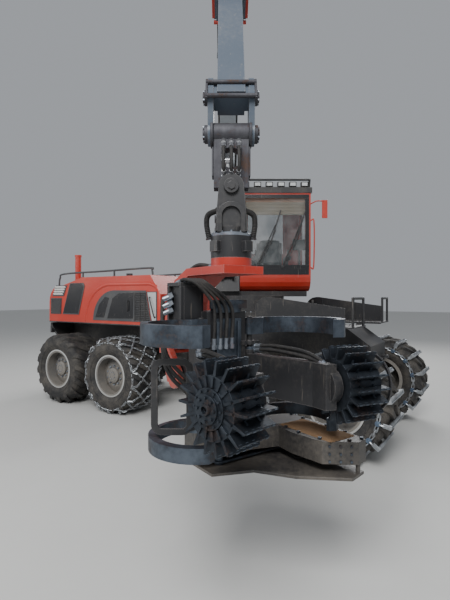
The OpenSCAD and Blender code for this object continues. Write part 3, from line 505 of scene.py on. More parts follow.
def skin(bm, rings, round_again=False):
    """Faces between neighbouring rings of points, and from the last back to the first where asked."""
    following = rings[1:] + rings[:1] if round_again else rings[1:]
    for a, b in zip(rings, following):
        n = len(a)
        for k in range(n):
            bm.faces.new((a[k], a[(k + 1) % n], b[(k + 1) % n], b[k]))


def tube(bm, points, r, sides=10, ridge=0.0):
    """A tube along points with closed ends, every other ring swelling by the ridge."""
    points = [Vector(q) for q in points]
    normal = None
    rings = []
    for i, p in enumerate(points):
        ahead = (points[min(i + 1, len(points) - 1)] - points[max(i - 1, 0)]).normalized()
        if normal is None:
            normal = ahead.orthogonal().normalized()
        normal = (normal - ahead * normal.dot(ahead)).normalized()
        side = ahead.cross(normal)
        swell = r + (0 if i % 2 else ridge)
        rings.append([bm.verts.new(p + (normal * math.cos(a) + side * math.sin(a)) * swell)
                      for a in (2 * math.pi * k / sides for k in range(sides))])
    skin(bm, rings)
    bm.faces.new(rings[0][::-1])
    bm.faces.new(rings[-1])


print("tubes ready")

# %% [markdown]
# ## Plates, turned forms and bolts
# Brackets are cut from plate and hubs are turned on a lathe, so both are made the same way here: an outline
# that is thickened, or a profile that is turned. Bolts come in rings, as they do on every flange.

# %% Plates, turned forms and bolt rings
def plate(bm, outline, thickness, m=None):
    """A flat plate with an outline in x and y, its thickness centred on z = 0, placed by a matrix."""
    m = m or Matrix()
    low = [bm.verts.new(m @ Vector((x, y, -thickness / 2))) for x, y in outline]
    high = [bm.verts.new(m @ Vector((x, y, thickness / 2))) for x, y in outline]
    bm.faces.new(low[::-1])
    bm.faces.new(high)
    skin(bm, [low, high])


def lathe(bm, profile, steps, m=None):
    """A ring or disc: a closed profile of radius and height turned about z."""
    m = m or Matrix()
    rings = []
    for i in range(steps):
        a = 2 * math.pi * i / steps
        rings.append([bm.verts.new(m @ Vector((r * math.cos(a), r * math.sin(a), z))) for r, z in profile])
    skin(bm, rings, round_again=True)


def arc(cx, cy, r, start, end, steps):
    """Points of an arc, with its angles in degrees."""
    return [(cx + r * math.cos(math.radians(start + (end - start) * i / steps)),
             cy + r * math.sin(math.radians(start + (end - start) * i / steps))) for i in range(steps + 1)]


def axis_frame(origin, axis, up=UP):
    """A frame whose z lies along an axis."""
    z = Vector(axis).normalized()
    x = Vector(up).cross(z)
    if x.length < 0.01:
        x = z.orthogonal()
    x.normalize()
    m = Matrix((x, z.cross(x), z)).transposed().to_4x4()
    m.translation = origin
    return m


# SIDE stands an outline up along x, and FACING stands it up across x.
SIDE = Matrix(((1, 0, 0, 0), (0, 0, 1, 0), (0, 1, 0, 0), (0, 0, 0, 1)))
FACING = Matrix(((0, 0, 1, 0), (1, 0, 0, 0), (0, 1, 0, 0), (0, 0, 0, 1)))


def bolt_ring(bm, count, ring_r, bolt_r, low, high, sides=6, start=0.0):
    """Round or six-sided heads in a ring about z, between two heights."""
    for k in range(count):
        a = 2 * math.pi * (k + start) / count
        x, y = ring_r * math.cos(a), ring_r * math.sin(a)
        rod(bm, (x, y, low), (x, y, high), bolt_r, sides)


print("plates and bolts ready")

# %% [markdown]
# ## Tyres
# A forestry tyre is a smooth bulging carcass with curved lugs that run from the middle of the tread over
# the shoulder. It could be sculpted or carved with booleans; here the carcass is one turned profile and
# each lug is a strip of sections that follows it, because the same few numbers then shape all eight wheels.

# %% Turn the carcass and sweep the lugs
TYRE_R = 0.665
LUG_N = 16
LUG_TURN = 0.27
TYRE_PROFILE = [(0.345, 0.275), (0.385, 0.312), (0.45, 0.345), (0.53, 0.346), (0.585, 0.318), (0.617, 0.27),
                (0.626, 0.18), (0.629, 0.0)]


def wheel_frame(name):
    """Frame of a wheel: z outward along its axle and x down."""
    at = joint_pos("wheel_%s_spin" % name)
    side = 1 if at.y > SLEW.y else -1
    z = Vector((0, side, 0))
    x = Vector((0, 0, -1))
    m = Matrix((x, z.cross(x), z)).transposed().to_4x4()
    m.translation = at
    return m


def carcass_radius(z):
    """Radius of the carcass at a distance from its middle."""
    z = abs(z)
    for (r1, z1), (r2, z2) in zip(TYRE_PROFILE[3:], TYRE_PROFILE[4:]):
        if z2 <= z <= z1:
            return r2 + (r1 - r2) * (z - z2) / (z1 - z2)
    return TYRE_PROFILE[3][0]


def lug(bm, start, side):
    """One lug: sections from the middle of the tread over the shoulder."""
    rows = []
    for t in (0, 0.2, 0.45, 0.7, 0.86, 0.95, 1.0):
        z = side * (0.01 + 0.335 * t)
        turn = start + side * LUG_TURN * (t + 0.25 * t * t)
        base = carcass_radius(z) - 0.012
        top = TYRE_R if t < 0.8 else TYRE_R - (t - 0.8) * 0.36
        wide = (0.036 + 0.012 * t) / TYRE_R
        rows.append([bm.verts.new((r * math.cos(turn + a), r * math.sin(turn + a), z))
                     for r, a in ((base, -wide * 1.35), (top, -wide), (top, wide), (base, wide * 1.35))])
    skin(bm, rows)
    bm.faces.new(rows[0])
    bm.faces.new(rows[-1][::-1])


def tyre(name):
    """A tyre in place of its plain solid."""
    bm = bmesh.new()
    outer = [(p.x, p.y) for p in smooth_path([(r, z, 0) for r, z in TYRE_PROFILE], 3)]
    profile = outer + [(r, -z) for r, z in outer[-2::-1]]
    lathe(bm, profile, 96)
    for i in range(LUG_N):
        for side in (1, -1):
            lug(bm, 2 * math.pi / LUG_N * (i + (side + 1) / 4), side)
    rib = [(0.455 + 0.008 * math.cos(a), 0.346 + 0.006 * math.sin(a)) for a in (0, 1.26, 2.51, 3.77, 5.03)]
    lathe(bm, rib, 72)
    ob = piece("tyre_%s_tread" % name, bm, TYRE, "wheel_" + name,
               frame_matrix=wheel_frame(name))
    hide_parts("tyre_" + name)


WHEELS = ["fl1", "fl2", "fr1", "fr2", "rl1", "rl2", "rr1", "rr2"]
for wheel in WHEELS:
    tyre(wheel)
print("tyres", len(WHEELS))

# %% [markdown]
# ## Chains
# Every chain on the tyres is made of oval links. A link could be a torus stretched by a modifier; a closed
# tube around a stadium is lighter, and one function then makes every link from its two ends.

# %% A link and a point on a wheel
def link(bm, a, b, across, wide=0.020, wire=0.0085, sides=5, ends=3):
    """An oval link from a to b, lying in the plane of its length and the direction across."""
    a, b = Vector(a), Vector(b)
    along = (b - a).normalized()
    across = (Vector(across) - along * along.dot(Vector(across))).normalized()
    normal = along.cross(across)
    centre_line = []
    for end, heading in ((b, 1), (a, -1)):
        for k in range(ends + 1):
            t = math.pi * (k / ends - 0.5)
            centre_line.append((end + heading * (along * math.cos(t) * wide + across * math.sin(t) * wide),
                                heading * (along * math.cos(t) + across * math.sin(t))))
    rings = []
    for p, out in centre_line:
        rings.append([bm.verts.new(p + (out * math.cos(q) + normal * math.sin(q)) * wire)
                      for q in (2 * math.pi * s / sides for s in range(sides))])
    skin(bm, rings, round_again=True)


def on_wheel(r, turn, z):
    """A point on a wheel from its radius, angle and distance outward."""
    return Vector((r * math.cos(turn), r * math.sin(turn), z))


print("link ready")

# %% [markdown]
# ## Cross chains
# The front wheels carry heavy cross chains: a bar over the tread between two rings of round connectors. One
# bar is placed and turned in a loop, so that bar, connector and links always stay in step.

# %% Bars, connectors and links of the front wheels
BAR_N = 14
BAR_HALF = 0.345
BAR_TOP = 0.690
CONNECTOR_R = 0.535
CONNECTOR_Z = 0.362


def heavy_chain(name):
    """Cross bars, connectors and the links between them."""
    bars, rings, links = bmesh.new(), bmesh.new(), bmesh.new()
    step = 2 * math.pi / BAR_N
    for i in range(BAR_N):
        turn = Matrix.Rotation(step * i, 4, "Z")
        made = [block(bars, (0.655, -0.030, -BAR_HALF), (0.676, 0.030, BAR_HALF))]
        for y in (-0.022, 0.022):
            made.append(block(bars, (0.674, y - 0.006, -0.352), (BAR_TOP, y + 0.006, 0.352)))
        for low, high in ((BAR_HALF, CONNECTOR_Z), (-CONNECTOR_Z, -BAR_HALF)):
            made.append(block(bars, (0.590, -0.026, low), (BAR_TOP, 0.026, high)))
        for verts in made:
            bmesh.ops.transform(bars, matrix=turn, verts=verts)
        for s in (1, -1):
            here = on_wheel(CONNECTOR_R, step * i, s * CONNECTOR_Z)
            rod(rings, here - Vector((0, 0, s * 0.012)), here + Vector((0, 0, s * 0.014)), 0.034, 18)
            rod(rings, here, here + Vector((0, 0, s * 0.019)), 0.017, 12)
            link(links, on_wheel(CONNECTOR_R + 0.030, step * i, s * CONNECTOR_Z),
                 on_wheel(0.600, step * i, s * 0.360), (0, 0, 1), 0.018, 0.0095)
            for k in range(3):
                t1 = step * (i + 0.16 + 0.23 * k)
                t2 = step * (i + 0.16 + 0.23 * (k + 1))
                out = (0, 0, 1) if k % 2 else on_wheel(1, (t1 + t2) / 2, 0)
                link(links, on_wheel(CONNECTOR_R, t1, s * CONNECTOR_Z),
                     on_wheel(CONNECTOR_R, t2, s * CONNECTOR_Z), out, 0.017, 0.0085)
    m = wheel_frame(name)
    body = "wheel_" + name
    piece("chain_bars_" + name, bars, CHAIN_STEEL, body, bevel=0.003, frame_matrix=m)
    piece("chain_connectors_" + name, rings, CHAIN_BLUE, body, bevel=0.003, frame_matrix=m)
    piece("chain_links_" + name, links, CHAIN_STEEL, body, frame_matrix=m)


CROSS_CHAINED = ["fl1", "fl2", "fr1", "fr2"]
for wheel in CROSS_CHAINED:
    heavy_chain(wheel)
print("cross chains", len(CROSS_CHAINED))

# %% [markdown]
# ## Net chains
# The rear bogies' front wheels carry a fine net that grips on soft ground. It zigzags over the lugs, so
# each strand is a path in wheel coordinates whose angle swings to and fro, and links follow it from side to
# side.

# %% Nets of the rear wheels
STRAND_N = 28
NET_R = 0.668
NET_HALF = 0.338
SHOULDER_LINKS = 72


def net_chain(name):
    """A net of small links over the lugs and down both shoulders."""
    bm = bmesh.new()
    for i in range(STRAND_N):
        lean = 1 if i % 2 else -1
        previous = None
        for k in range(17):
            z = -NET_HALF + 2 * NET_HALF * k / 16
            zigzag = abs((k % 8) - 4) / 4 - 0.5
            turn = 2 * math.pi * (i + 0.5) / STRAND_N + lean * zigzag * 0.20
            r = NET_R - max(abs(z) - 0.30, 0) * 1.35
            here = on_wheel(r, turn, z)
            if previous is not None:
                out = on_wheel(1, turn, 0) if k % 2 else on_wheel(1, turn + math.pi / 2, 0)
                link(bm, previous, here, out, 0.012, 0.0062, 5, 2)
            previous = here
    for s in (1, -1):
        for k in range(SHOULDER_LINKS):
            t1 = 2 * math.pi * k / SHOULDER_LINKS
            t2 = 2 * math.pi * (k + 0.8) / SHOULDER_LINKS
            link(bm, on_wheel(0.585, t1, s * 0.330), on_wheel(0.585, t2, s * 0.330),
                 (0, 0, 1) if k % 2 else on_wheel(1, t1, 0), 0.014, 0.0075, 5, 2)
    piece("chain_net_" + name, bm, CHAIN_STEEL, "wheel_" + name, frame_matrix=wheel_frame(name))


NET_CHAINED = ["rl1", "rr1"]
for wheel in NET_CHAINED:
    net_chain(wheel)
print("net chains", len(NET_CHAINED))

# %% [markdown]
# ## Rims
# The rim's dish carries two rings of bolts, hand holes and a polished edge where the tyre's bead has
# scrubbed it. The dish itself is already turned in the solid, so only the small fasteners are added, as one
# joined mesh for each wheel.

# %% Bolts and lips
def rim_fittings(name):
    """Wheel nuts, hub bolts, plugged hand holes and the bright lip."""
    bolts, plugs, lip = bmesh.new(), bmesh.new(), bmesh.new()
    bolt_ring(bolts, 10, 0.165, 0.017, 0.168, 0.202)
    bolt_ring(bolts, 10, 0.165, 0.009, 0.198, 0.214, 10)
    bolt_ring(bolts, 8, 0.062, 0.010, 0.236, 0.250, start=0.5)
    bolt_ring(plugs, 5, 0.255, 0.026, 0.151, 0.163, 18, start=0.25)
    lathe(lip, [(0.342, 0.296), (0.365, 0.296), (0.368, 0.306), (0.344, 0.309)], 96)
    m = wheel_frame(name)
    body = "wheel_" + name
    piece("wheel_bolts_" + name, bolts, WORN_STEEL, body, bevel=0.0015, frame_matrix=m)
    piece("wheel_plugs_" + name, plugs, BLACK, body, bevel=0.002, frame_matrix=m)
    piece("wheel_lip_" + name, lip, LIGHT_GREY, body, frame_matrix=m)


for wheel in WHEELS:
    rim_fittings(wheel)
print("rims dressed")

# %% [markdown]
# ## Hood panels, rails and arch
# Each side of the hood has an arched field and a field behind it, cut from sheet, and a bent bar runs along
# its top as a rail. One piece with these outlines stands for the solid's plain panels and rails, and a
# raised red moulding follows the arch: a band pulled along a line, because a bevelled plate would lose its
# round face.

# %% Side panels of the hood
HOOD_SIDE = 1.0
PANEL_FACE = HOOD_SIDE + 0.009
FRONT_PANELS = [[(-1.47, 1.605), (-1.59, 2.165)] + arc(-2.40, 1.605, 0.57, 90, 180, 10),
                [(-1.45, 1.605), (-1.57, 2.145), (-1.33, 2.145), (-1.33, 1.605)]]
REAR_PANELS = [[(-3.90, 1.70), (-3.40, 1.70), (-3.22, 2.27), (-3.26, 2.33), (-3.67, 2.33)],
               [(-4.24, 2.07), (-3.87, 2.07), (-3.76, 2.29), (-4.12, 2.29)],
               [(-4.29, 1.70), (-3.96, 1.70), (-3.935, 2.03), (-4.285, 2.03)]]


def side_frame(side, out):
    """Frame of a side: x ahead, y up and z outward, at a distance out from the middle."""
    m = Matrix(((1, 0, 0), (0, 0, 1), (0, side, 0))).transposed().to_4x4()
    m.translation = (0, side * out, 0)
    return MACHINE @ m


def moulding(bm, line, wide, m):
    """A raised band with a half round face along an open line."""
    section = ((-wide, 0.0), (-wide * 0.6, 0.014), (0.0, 0.019), (wide * 0.6, 0.014), (wide, 0.0))
    rings = []
    for i, p in enumerate(line):
        before, after = Vector(line[max(i - 1, 0)]), Vector(line[min(i + 1, len(line) - 1)])
        ahead = (after - before).normalized()
        across = Vector((-ahead.y, ahead.x))
        rings.append([bm.verts.new(m @ Vector((p[0] + across.x * u, p[1] + across.y * u, w)))
                      for u, w in section])
    skin(bm, rings)
    bm.faces.new(rings[0])
    bm.faces.new(rings[-1][::-1])


RAIL_Y, RAIL_R = 0.90, 0.018
RAIL_LINE = [(-4.18, 2.15), (-4.16, 2.30), (-4.13, 2.45), (-3.98, 2.53), (-2.80, 2.55), (-1.62, 2.57),
             (-1.54, 2.53), (-1.52, 2.43)]
ARCH = [(-1.30, 1.585), (-1.30, 2.15), (-1.36, 2.235), (-1.50, 2.285)] + arc(-2.50, 1.585, 0.70, 90, 180, 14)
fittings, arches = bmesh.new(), bmesh.new()
for side in (-1, 1):
    for outline in FRONT_PANELS + REAR_PANELS:
        plate(fittings, outline, 0.012, side_frame(side, HOOD_SIDE + 0.005))
    rail = smooth_path([MACHINE @ Vector((x, side * RAIL_Y, z)) for x, z in RAIL_LINE], 6)
    tube(fittings, rail, RAIL_R, 14)
    for x in (-3.4, -2.5):
        foot = MACHINE @ Vector((x, side * RAIL_Y, 0))
        for r, low, high, sides in ((RAIL_R, 2.42, 2.55, 14), (0.034, 2.436, 2.448, 18)):
            rod(fittings, foot + UP * low, foot + UP * high, r, sides)
    moulding(arches, ARCH, 0.034, side_frame(side, HOOD_SIDE - 0.002))
rod(fittings, MACHINE @ Vector((-2.30, -0.70, 2.43)), MACHINE @ Vector((-2.30, -0.70, 2.50)), 0.060, 28)
made_fittings = piece("hood_fittings_made", fittings, DARK, "hood", bevel=0.002)
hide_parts("hood_fittings")
piece("hood_arches", arches, RED, "hood")
print("hood panels", 2 * len(FRONT_PANELS + REAR_PANELS))

# %% [markdown]
# ## Doors, louvres and grilles
# On the fields lie a dark door, a barred air inlet, a pale panel, a gloss panel, a white louvre and a mesh.
# They are thin plates, slats and rods, because a picture of a grille would go flat in the raking light.

# %% Doors, louvres and grilles
def slats(bm, low, high, left, right, count, thick, turn=0.5):
    """Slats between two heights, their ends on edges that are given by their x at both heights."""
    for i in range(count):
        t = (i + 0.5) / count
        y = low + (high - low) * t
        x0 = left[0] + (left[1] - left[0]) * t
        x1 = right[0] + (right[1] - right[0]) * t
        block(bm, (x0, y - thick / 2, 0.0), (x1, y + thick / 2, 0.010), Matrix.Rotation(turn, 4, "X"))


SHEET = 0.006
DOOR = [(-2.57, 1.645), (-2.43, 2.03), (-2.26, 2.12), (-1.88, 2.13), (-1.90, 1.66)]
DOOR_WING = [(-2.90, 1.66), (-2.80, 1.90), (-2.63, 2.06), (-2.52, 2.03), (-2.66, 1.66)]
DOOR_HANDLE = [(-2.02, 1.80, 0.0), (-2.02, 1.81, 0.026), (-2.02, 1.97, 0.026), (-2.02, 1.98, 0.0)]
LATCHES = [(-2.36, 1.72), (-2.30, 2.04), (-1.97, 1.72), (-1.97, 2.06), (-2.76, 1.72), (-2.66, 1.94)]
PALE = [(-1.435, 1.62), (-1.545, 2.13), (-1.345, 2.13), (-1.345, 1.62)]
PALE_HANDLE = [(-1.36, 1.70, 0.0), (-1.37, 1.72, 0.030), (-1.47, 2.02, 0.030), (-1.48, 2.04, 0.0)]
GLOSS = [(-3.88, 1.72), (-3.42, 1.72), (-3.25, 2.26), (-3.29, 2.32), (-3.65, 2.32)]
for side, tag in ((-1, "right"), (1, "left")):
    door, pale, bars, gloss, louvre, mesh_bars, trim = (bmesh.new() for _ in range(7))
    plate(door, DOOR, SHEET)
    plate(door, DOOR_WING, SHEET)
    for x, y in LATCHES:
        rod(trim, (x, y, 0.0), (x, y, 0.008), 0.011, 14)
    plate(pale, PALE, SHEET)
    tube(trim, smooth_path(PALE_HANDLE, 5), 0.011)
    tube(trim, smooth_path(DOOR_HANDLE, 4), 0.009)
    slats(bars, 1.63, 2.13, (-1.85, -1.85), (-1.49, -1.60), 16, 0.012, 0.6)
    for x in (-1.85, -1.72, -1.60):
        rod(bars, (x, 1.62, 0.006), (x, 2.13, 0.006), 0.006, 8)
    m = side_frame(side, PANEL_FACE + 0.003)
    piece("hood_door_" + tag, door, GLOSS_BLACK, "hood", bevel=0.002, frame_matrix=m)
    piece("hood_inlet_" + tag, bars, BLACK, "hood", frame_matrix=m)
    piece("hood_pale_panel_" + tag, pale, LIGHT_GREY, "hood", bevel=0.002, frame_matrix=m)
    piece("hood_handles_" + tag, trim, BLACK, "hood", frame_matrix=m)
    plate(gloss, GLOSS, SHEET)
    slats(louvre, 2.09, 2.28, (-4.20, -4.12), (-3.90, -3.79), 4, 0.034, 0.5)
    for k in range(13):
        x = -4.27 + 0.024 * k
        rod(mesh_bars, (x, 1.715, 0.004), (x, 2.015, 0.004), 0.0035, 6)
        y = 1.72 + 0.024 * k
        rod(mesh_bars, (-4.275, y, 0.008), (-3.955, y, 0.008), 0.0035, 6)
    m = side_frame(side, PANEL_FACE + 0.004)
    piece("hood_gloss_panel_" + tag, gloss, GLOSS_BLACK, "hood", bevel=0.002, frame_matrix=m)
    piece("hood_louvre_" + tag, louvre, WHITE, "hood", bevel=0.002, frame_matrix=m)
    piece("hood_mesh_" + tag, mesh_bars, DARK, "hood", frame_matrix=m)

print("hood dressed")

# %% [markdown]
# ## Lamps and bolts on the frames
# The rear bumper carries an amber and a white lamp on each side, and bolt heads show where plates meet.
# Lamps are a dark bezel with a lens pushed into it, because the ring of shadow between them is what reads
# as a lamp.

# %% Bumper lamps and bolts
BUMPER_BACK = -4.461
BUMPER_LAMP_Z = 1.365
PLATE_BACK = -4.412
bezels, white_lenses, amber_lenses, bolts = (bmesh.new() for _ in range(4))
for side in (-1, 1):
    for k, lens in enumerate((white_lenses, amber_lenses)):
        at = Vector((BUMPER_BACK, side * (0.705 + 0.125 * k), BUMPER_LAMP_Z))
        rod(bezels, at, at - Vector((0.016, 0, 0)), 0.054, 24)
        rod(lens, at - Vector((0.010, 0, 0)), at - Vector((0.024, 0, 0)), 0.044, 24, 0.036)
    for y in (0.15, 0.30, 0.45, 0.60):
        for z in (1.02, 1.42):
            rod(bolts, (PLATE_BACK, side * y, z), (PLATE_BACK - 0.012, side * y, z), 0.016, 6)
piece("bumper_bezels", bezels, BLACK, "rear_frame", bevel=0.003, frame_matrix=MACHINE)
piece("bumper_lenses", white_lenses, LENS, "rear_frame", frame_matrix=MACHINE)
piece("bumper_amber_lenses", amber_lenses, AMBER, "rear_frame", frame_matrix=MACHINE)
piece("bumper_bolts", bolts, WORN_STEEL, "rear_frame", frame_matrix=MACHINE)
print("frames dressed")

# %% [markdown]
# ## The cab's window borders and wipers
# The cab is a safety cell of thin red pillars and thick glass, bonded behind a black border. The border is
# a frame of thin plates: painting it on the glass would lose the step that catches the light.

# %% Borders and wipers
CAB_FRONT = 0.350
CAB_RIGHT = -0.230
CAB_LEFT = 0.960
SCREEN_LOW = (-0.140, 2.590)
SCREEN_HIGH = (0.870, 3.710)


def border(bm, low, high, at, wide, thick, axis="u"):
    """Four strips round an opening between two corners, on a plane across the u or the v axis."""
    a0, z0 = low
    a1, z1 = high
    for b0, b1, y0, y1 in ((a0 - wide, a1 + wide, z0 - wide, z0), (a0 - wide, a1 + wide, z1, z1 + wide),
                           (a0 - wide, a0, z0, z1), (a1, a1 + wide, z0, z1)):
        if axis == "u":
            block(bm, (at, b0, y0), (at + thick, b1, y1))
        else:
            block(bm, (b0, at, y0), (b1, at + thick, y1))


edges = bmesh.new()
border(edges, SCREEN_LOW, SCREEN_HIGH, CAB_FRONT, 0.062, 0.006)
block(edges, (CAB_FRONT, -0.20, 2.425), (CAB_FRONT + 0.005, 0.93, 2.535))
border(edges, (-0.58, 2.92), (0.16, 3.68), CAB_RIGHT - 0.006, 0.055, 0.006, "v")
piece("cab_window_borders", edges, GLOSS_BLACK, "upper", bevel=0.002, frame_matrix=UPPER)

wipers = bmesh.new()
for v, lean in ((0.05, 0.42), (0.48, 0.40)):
    foot = Vector((CAB_FRONT + 0.020, v, 2.56))
    tip = Vector((CAB_FRONT + 0.024, v + lean * 0.75, 3.26))
    rod(wipers, foot - Vector((0.02, 0, 0)), foot + Vector((0.016, 0, 0)), 0.022, 16)
    rod(wipers, foot, tip, 0.009, 10)
    rod(wipers, foot + Vector((0, 0.035, 0)), tip + Vector((0, 0.012, -0.08)), 0.006, 8)
    block(wipers, tip + Vector((-0.016, -0.010, -0.34)), tip + Vector((0.0, 0.010, 0.26)),
          Matrix.Rotation(-0.30, 4, "X"))
piece("cab_wipers", wipers, BLACK, "upper", bevel=0.002, frame_matrix=UPPER)
print("window trim ready")

# %% [markdown]
# ## Roof lamps
# A row of square work lamps looks out from under the roof's edge. Each is a lens with four strips round it
# and two short studs that hold it, and the loop sets them at one step.

# %% Row of roof lamps
LAMP_N = 6
LAMP_STEP = 0.198
LAMP_Z = 3.95
lamp_bezels, lamp_lenses = bmesh.new(), bmesh.new()
for i in range(LAMP_N):
    v = -0.130 + LAMP_STEP * i
    low = (v - 0.046, LAMP_Z - 0.028)
    high = (v + 0.046, LAMP_Z + 0.028)
    border(lamp_bezels, low, high, 0.340, 0.010, 0.010)
    block(lamp_lenses, (0.338, *low), (0.345, *high))
    for k in (-1, 1):
        rod(lamp_bezels, (0.20, v + k * 0.03, LAMP_Z), (0.252, v + k * 0.03, LAMP_Z), 0.010, 8)
piece("cab_lamp_bezels", lamp_bezels, BLACK, "upper", bevel=0.002, frame_matrix=UPPER)
piece("cab_lamp_lenses", lamp_lenses, LENS, "upper", bevel=0.003, frame_matrix=UPPER)
print("roof lamps", LAMP_N)

# %% [markdown]
# ## A pleated screen, a band of painted reflection and the mirror's arm
# A pleated sun screen stands behind the windscreen with a pleated peach band above it, which is painted
# reflection, and a grab bar and a mirror's arm are bent from tube.
# The pleats are a zigzag of rows: a wavy texture would stay flat where the light comes from the side.

# %% Screen, band of painted reflection, grab bar and mirror's arm
def pleats(bm, v0, v1, z0, z1, u, folds, depth):
    """A pleated sheet between two sides and two heights: the sun screen and the painted reflection band."""
    rows = []
    for i in range(folds * 2 + 1):
        z = z0 + (z1 - z0) * i / (folds * 2)
        out = depth if i % 2 else 0
        front, back = u + out, u + out - 0.004
        ring = ((front, v0), (front, v1), (back, v1), (back, v0))
        rows.append([bm.verts.new((at, v, z)) for at, v in ring])
    skin(bm, rows)
    bm.faces.new(rows[0])
    bm.faces.new(rows[-1])


blind, band = bmesh.new(), bmesh.new()
for pleated, low, high, folds in ((blind, 3.44, 3.66, 9), (band, 3.66, 3.74, 3)):
    pleats(pleated, SCREEN_LOW[0], SCREEN_HIGH[0], low, high, 0.286, folds, 0.012)
piece("cab_blind", blind, BLIND, "upper", smooth=False, frame_matrix=UPPER)
# The peach band is painted reflection: a sheet in the colour that the windscreen reflects there.
piece("cab_painted_reflection_band", band, PEACH_REFLECTION, "upper", smooth=False, frame_matrix=UPPER)

GRAB_BAR = [(0.335, 0.962, 2.55), (0.345, 1.010, 2.58), (0.350, 1.015, 3.30), (0.335, 0.962, 3.34)]
MIRROR_ARM = [(0.30, 0.955, 3.62), (0.36, 1.06, 3.66), (0.44, 1.16, 3.64)]
grips = bmesh.new()
tube(grips, smooth_path(GRAB_BAR, 6), 0.012)
tube(grips, smooth_path(MIRROR_ARM, 6), 0.010)
block(grips, (0.425, 1.13, 3.36), (0.440, 1.22, 3.66))
piece("cab_mirror_bar", grips, RED, "upper", bevel=0.003, frame_matrix=UPPER)
print("cab dressed outside")

# %% [markdown]
# ## Seat cushions
# Through the glass the seat shows. Its cushions are cloth over foam: the pads are crowned blocks that a
# short cloth simulation inflates a little, because a bevelled block looks hard where foam should give.

# %% Seat cushions
SEAT_U, SEAT_V, CAB_FLOOR = -0.420, 0.365, 2.200
SEAT_TOP, BACK_TOP = 2.630, 3.158
SETTLE_FRAMES = 20


def cushion(name, low, high):
    """A padded cushion between two corners: a crowned block that a short cloth simulation inflates."""
    bm = bmesh.new()
    block(bm, low, high)
    bmesh.ops.subdivide_edges(bm, edges=bm.edges, cuts=3, use_grid_fill=True)
    centre = (Vector(low) + Vector(high)) / 2
    half = (Vector(high) - Vector(low)) / 2
    for v in bm.verts:
        q = v.co - centre
        corner = max(abs(q.x / half.x) ** 4 + abs(q.y / half.y) ** 4 + abs(q.z / half.z) ** 4 - 1, 0)
        v.co = centre + q * (0.93 - 0.07 * corner)
    ob = piece(name, bm, FABRIC, "upper", frame_matrix=UPPER)
    inflate(ob)
    round_off = ob.modifiers.new("round", "SUBSURF")
    round_off.levels = round_off.render_levels = 1 if len(ob.data.polygons) > 2000 else 3
    return ob


def inflate(ob, voxel=0.012, pressure=4, cap=0.010):
    """Swells a closed mesh as cloth under pressure, moving no point farther than the cap."""
    remesh = ob.modifiers.new("remesh", "REMESH")
    remesh.mode = "VOXEL"
    remesh.voxel_size = voxel
    bake(ob)
    before = [v.co.copy() for v in ob.data.vertices]
    cloth = ob.modifiers.new("cloth", "CLOTH")
    cloth.settings.use_pressure = True
    cloth.settings.uniform_pressure_force = pressure
    cloth.settings.effector_weights.gravity = 0
    for number in range(1, SETTLE_FRAMES + 1):
        bpy.context.scene.frame_set(number)
    bake(ob)
    for v, old in zip(ob.data.vertices, before):
        move = v.co - old
        if move.length > cap:
            v.co = old + move.normalized() * cap
    bpy.context.scene.frame_set(1)


def bake(ob):
    """Replaces an object's mesh by the mesh that its modifiers give."""
    graph = bpy.context.evaluated_depsgraph_get()
    mesh = bpy.data.meshes.new_from_object(ob.evaluated_get(graph))
    ob.modifiers.clear()
    ob.data = mesh
    mesh.polygons.foreach_set("use_smooth", [True] * len(mesh.polygons))


pad = cushion("seat_cushion", (SEAT_U - 0.245, SEAT_V - 0.235, CAB_FLOOR + 0.322),
              (SEAT_U + 0.235, SEAT_V + 0.235, SEAT_TOP))
back = cushion("seat_backrest", (SEAT_U - 0.247, SEAT_V - 0.225, CAB_FLOOR + 0.44),
               (SEAT_U - 0.140, SEAT_V + 0.225, BACK_TOP))
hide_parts("seat_pads")
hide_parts("seat_pads")

print("cushions", len(pad.data.polygons), len(back.data.polygons))

# %% [markdown]
# ## Controls, display and door trim
# Joystick pods stand beside the seat, a display on its post and two pedals before it, and the door has a
# border and a pull. All are small moulded shapes, for which blocks and short tubes with a bevel are enough.

# %% Controls, display and door trim
controls, screen = bmesh.new(), bmesh.new()
for side in (-1, 1):
    v = SEAT_V + side * 0.29
    rod(controls, (-0.16, v, 2.77), (-0.13, v, 2.86), 0.026, 16, 0.018)
    block(controls, (-0.30, v - 0.05, 2.762), (-0.08, v + 0.05, 2.778))
rod(controls, (0.16, 0.80, 2.20), (0.16, 0.80, 2.86), 0.02, 12)
block(controls, (0.150, 0.68, 2.86), (0.185, 0.90, 3.04), Matrix.Rotation(0.25, 4, "Z"))
block(screen, (0.146, 0.695, 2.875), (0.150, 0.885, 3.025), Matrix.Rotation(0.25, 4, "Z"))
for v in (0.25, 0.42):
    block(controls, (0.02, v, 2.21), (0.20, v + 0.10, 2.235), Matrix.Rotation(-0.35, 4, "Y"))
piece("cab_controls", controls, PLASTIC, "upper", bevel=0.003, frame_matrix=UPPER)
piece("cab_display", screen, GLOSS_BLACK, "upper", frame_matrix=UPPER)

DOOR_PULL = [(0.11, CAB_LEFT, 2.86), (0.11, 0.990, 2.88), (0.11, 0.990, 3.04), (0.11, CAB_LEFT, 3.06)]
door_trim = bmesh.new()
border(door_trim, (-0.49, 2.48), (0.07, 3.60), CAB_LEFT, 0.040, 0.005, "v")
tube(door_trim, smooth_path(DOOR_PULL, 5), 0.009)
piece("cab_door_trim", door_trim, BLACK, "door", bevel=0.002, frame_matrix=UPPER)
print("operator's place ready")

# %% [markdown]
# ## Hoses and brackets on the crane
# Hydraulic hoses run in bundles along both booms, held by clamps, and each ends in a swaged steel fitting.
# They are clamped pipes and not free cords, so each one is a tube along points chosen in its own boom's
# frame and stops short of the joint, which lets it turn with that boom and tear nowhere.

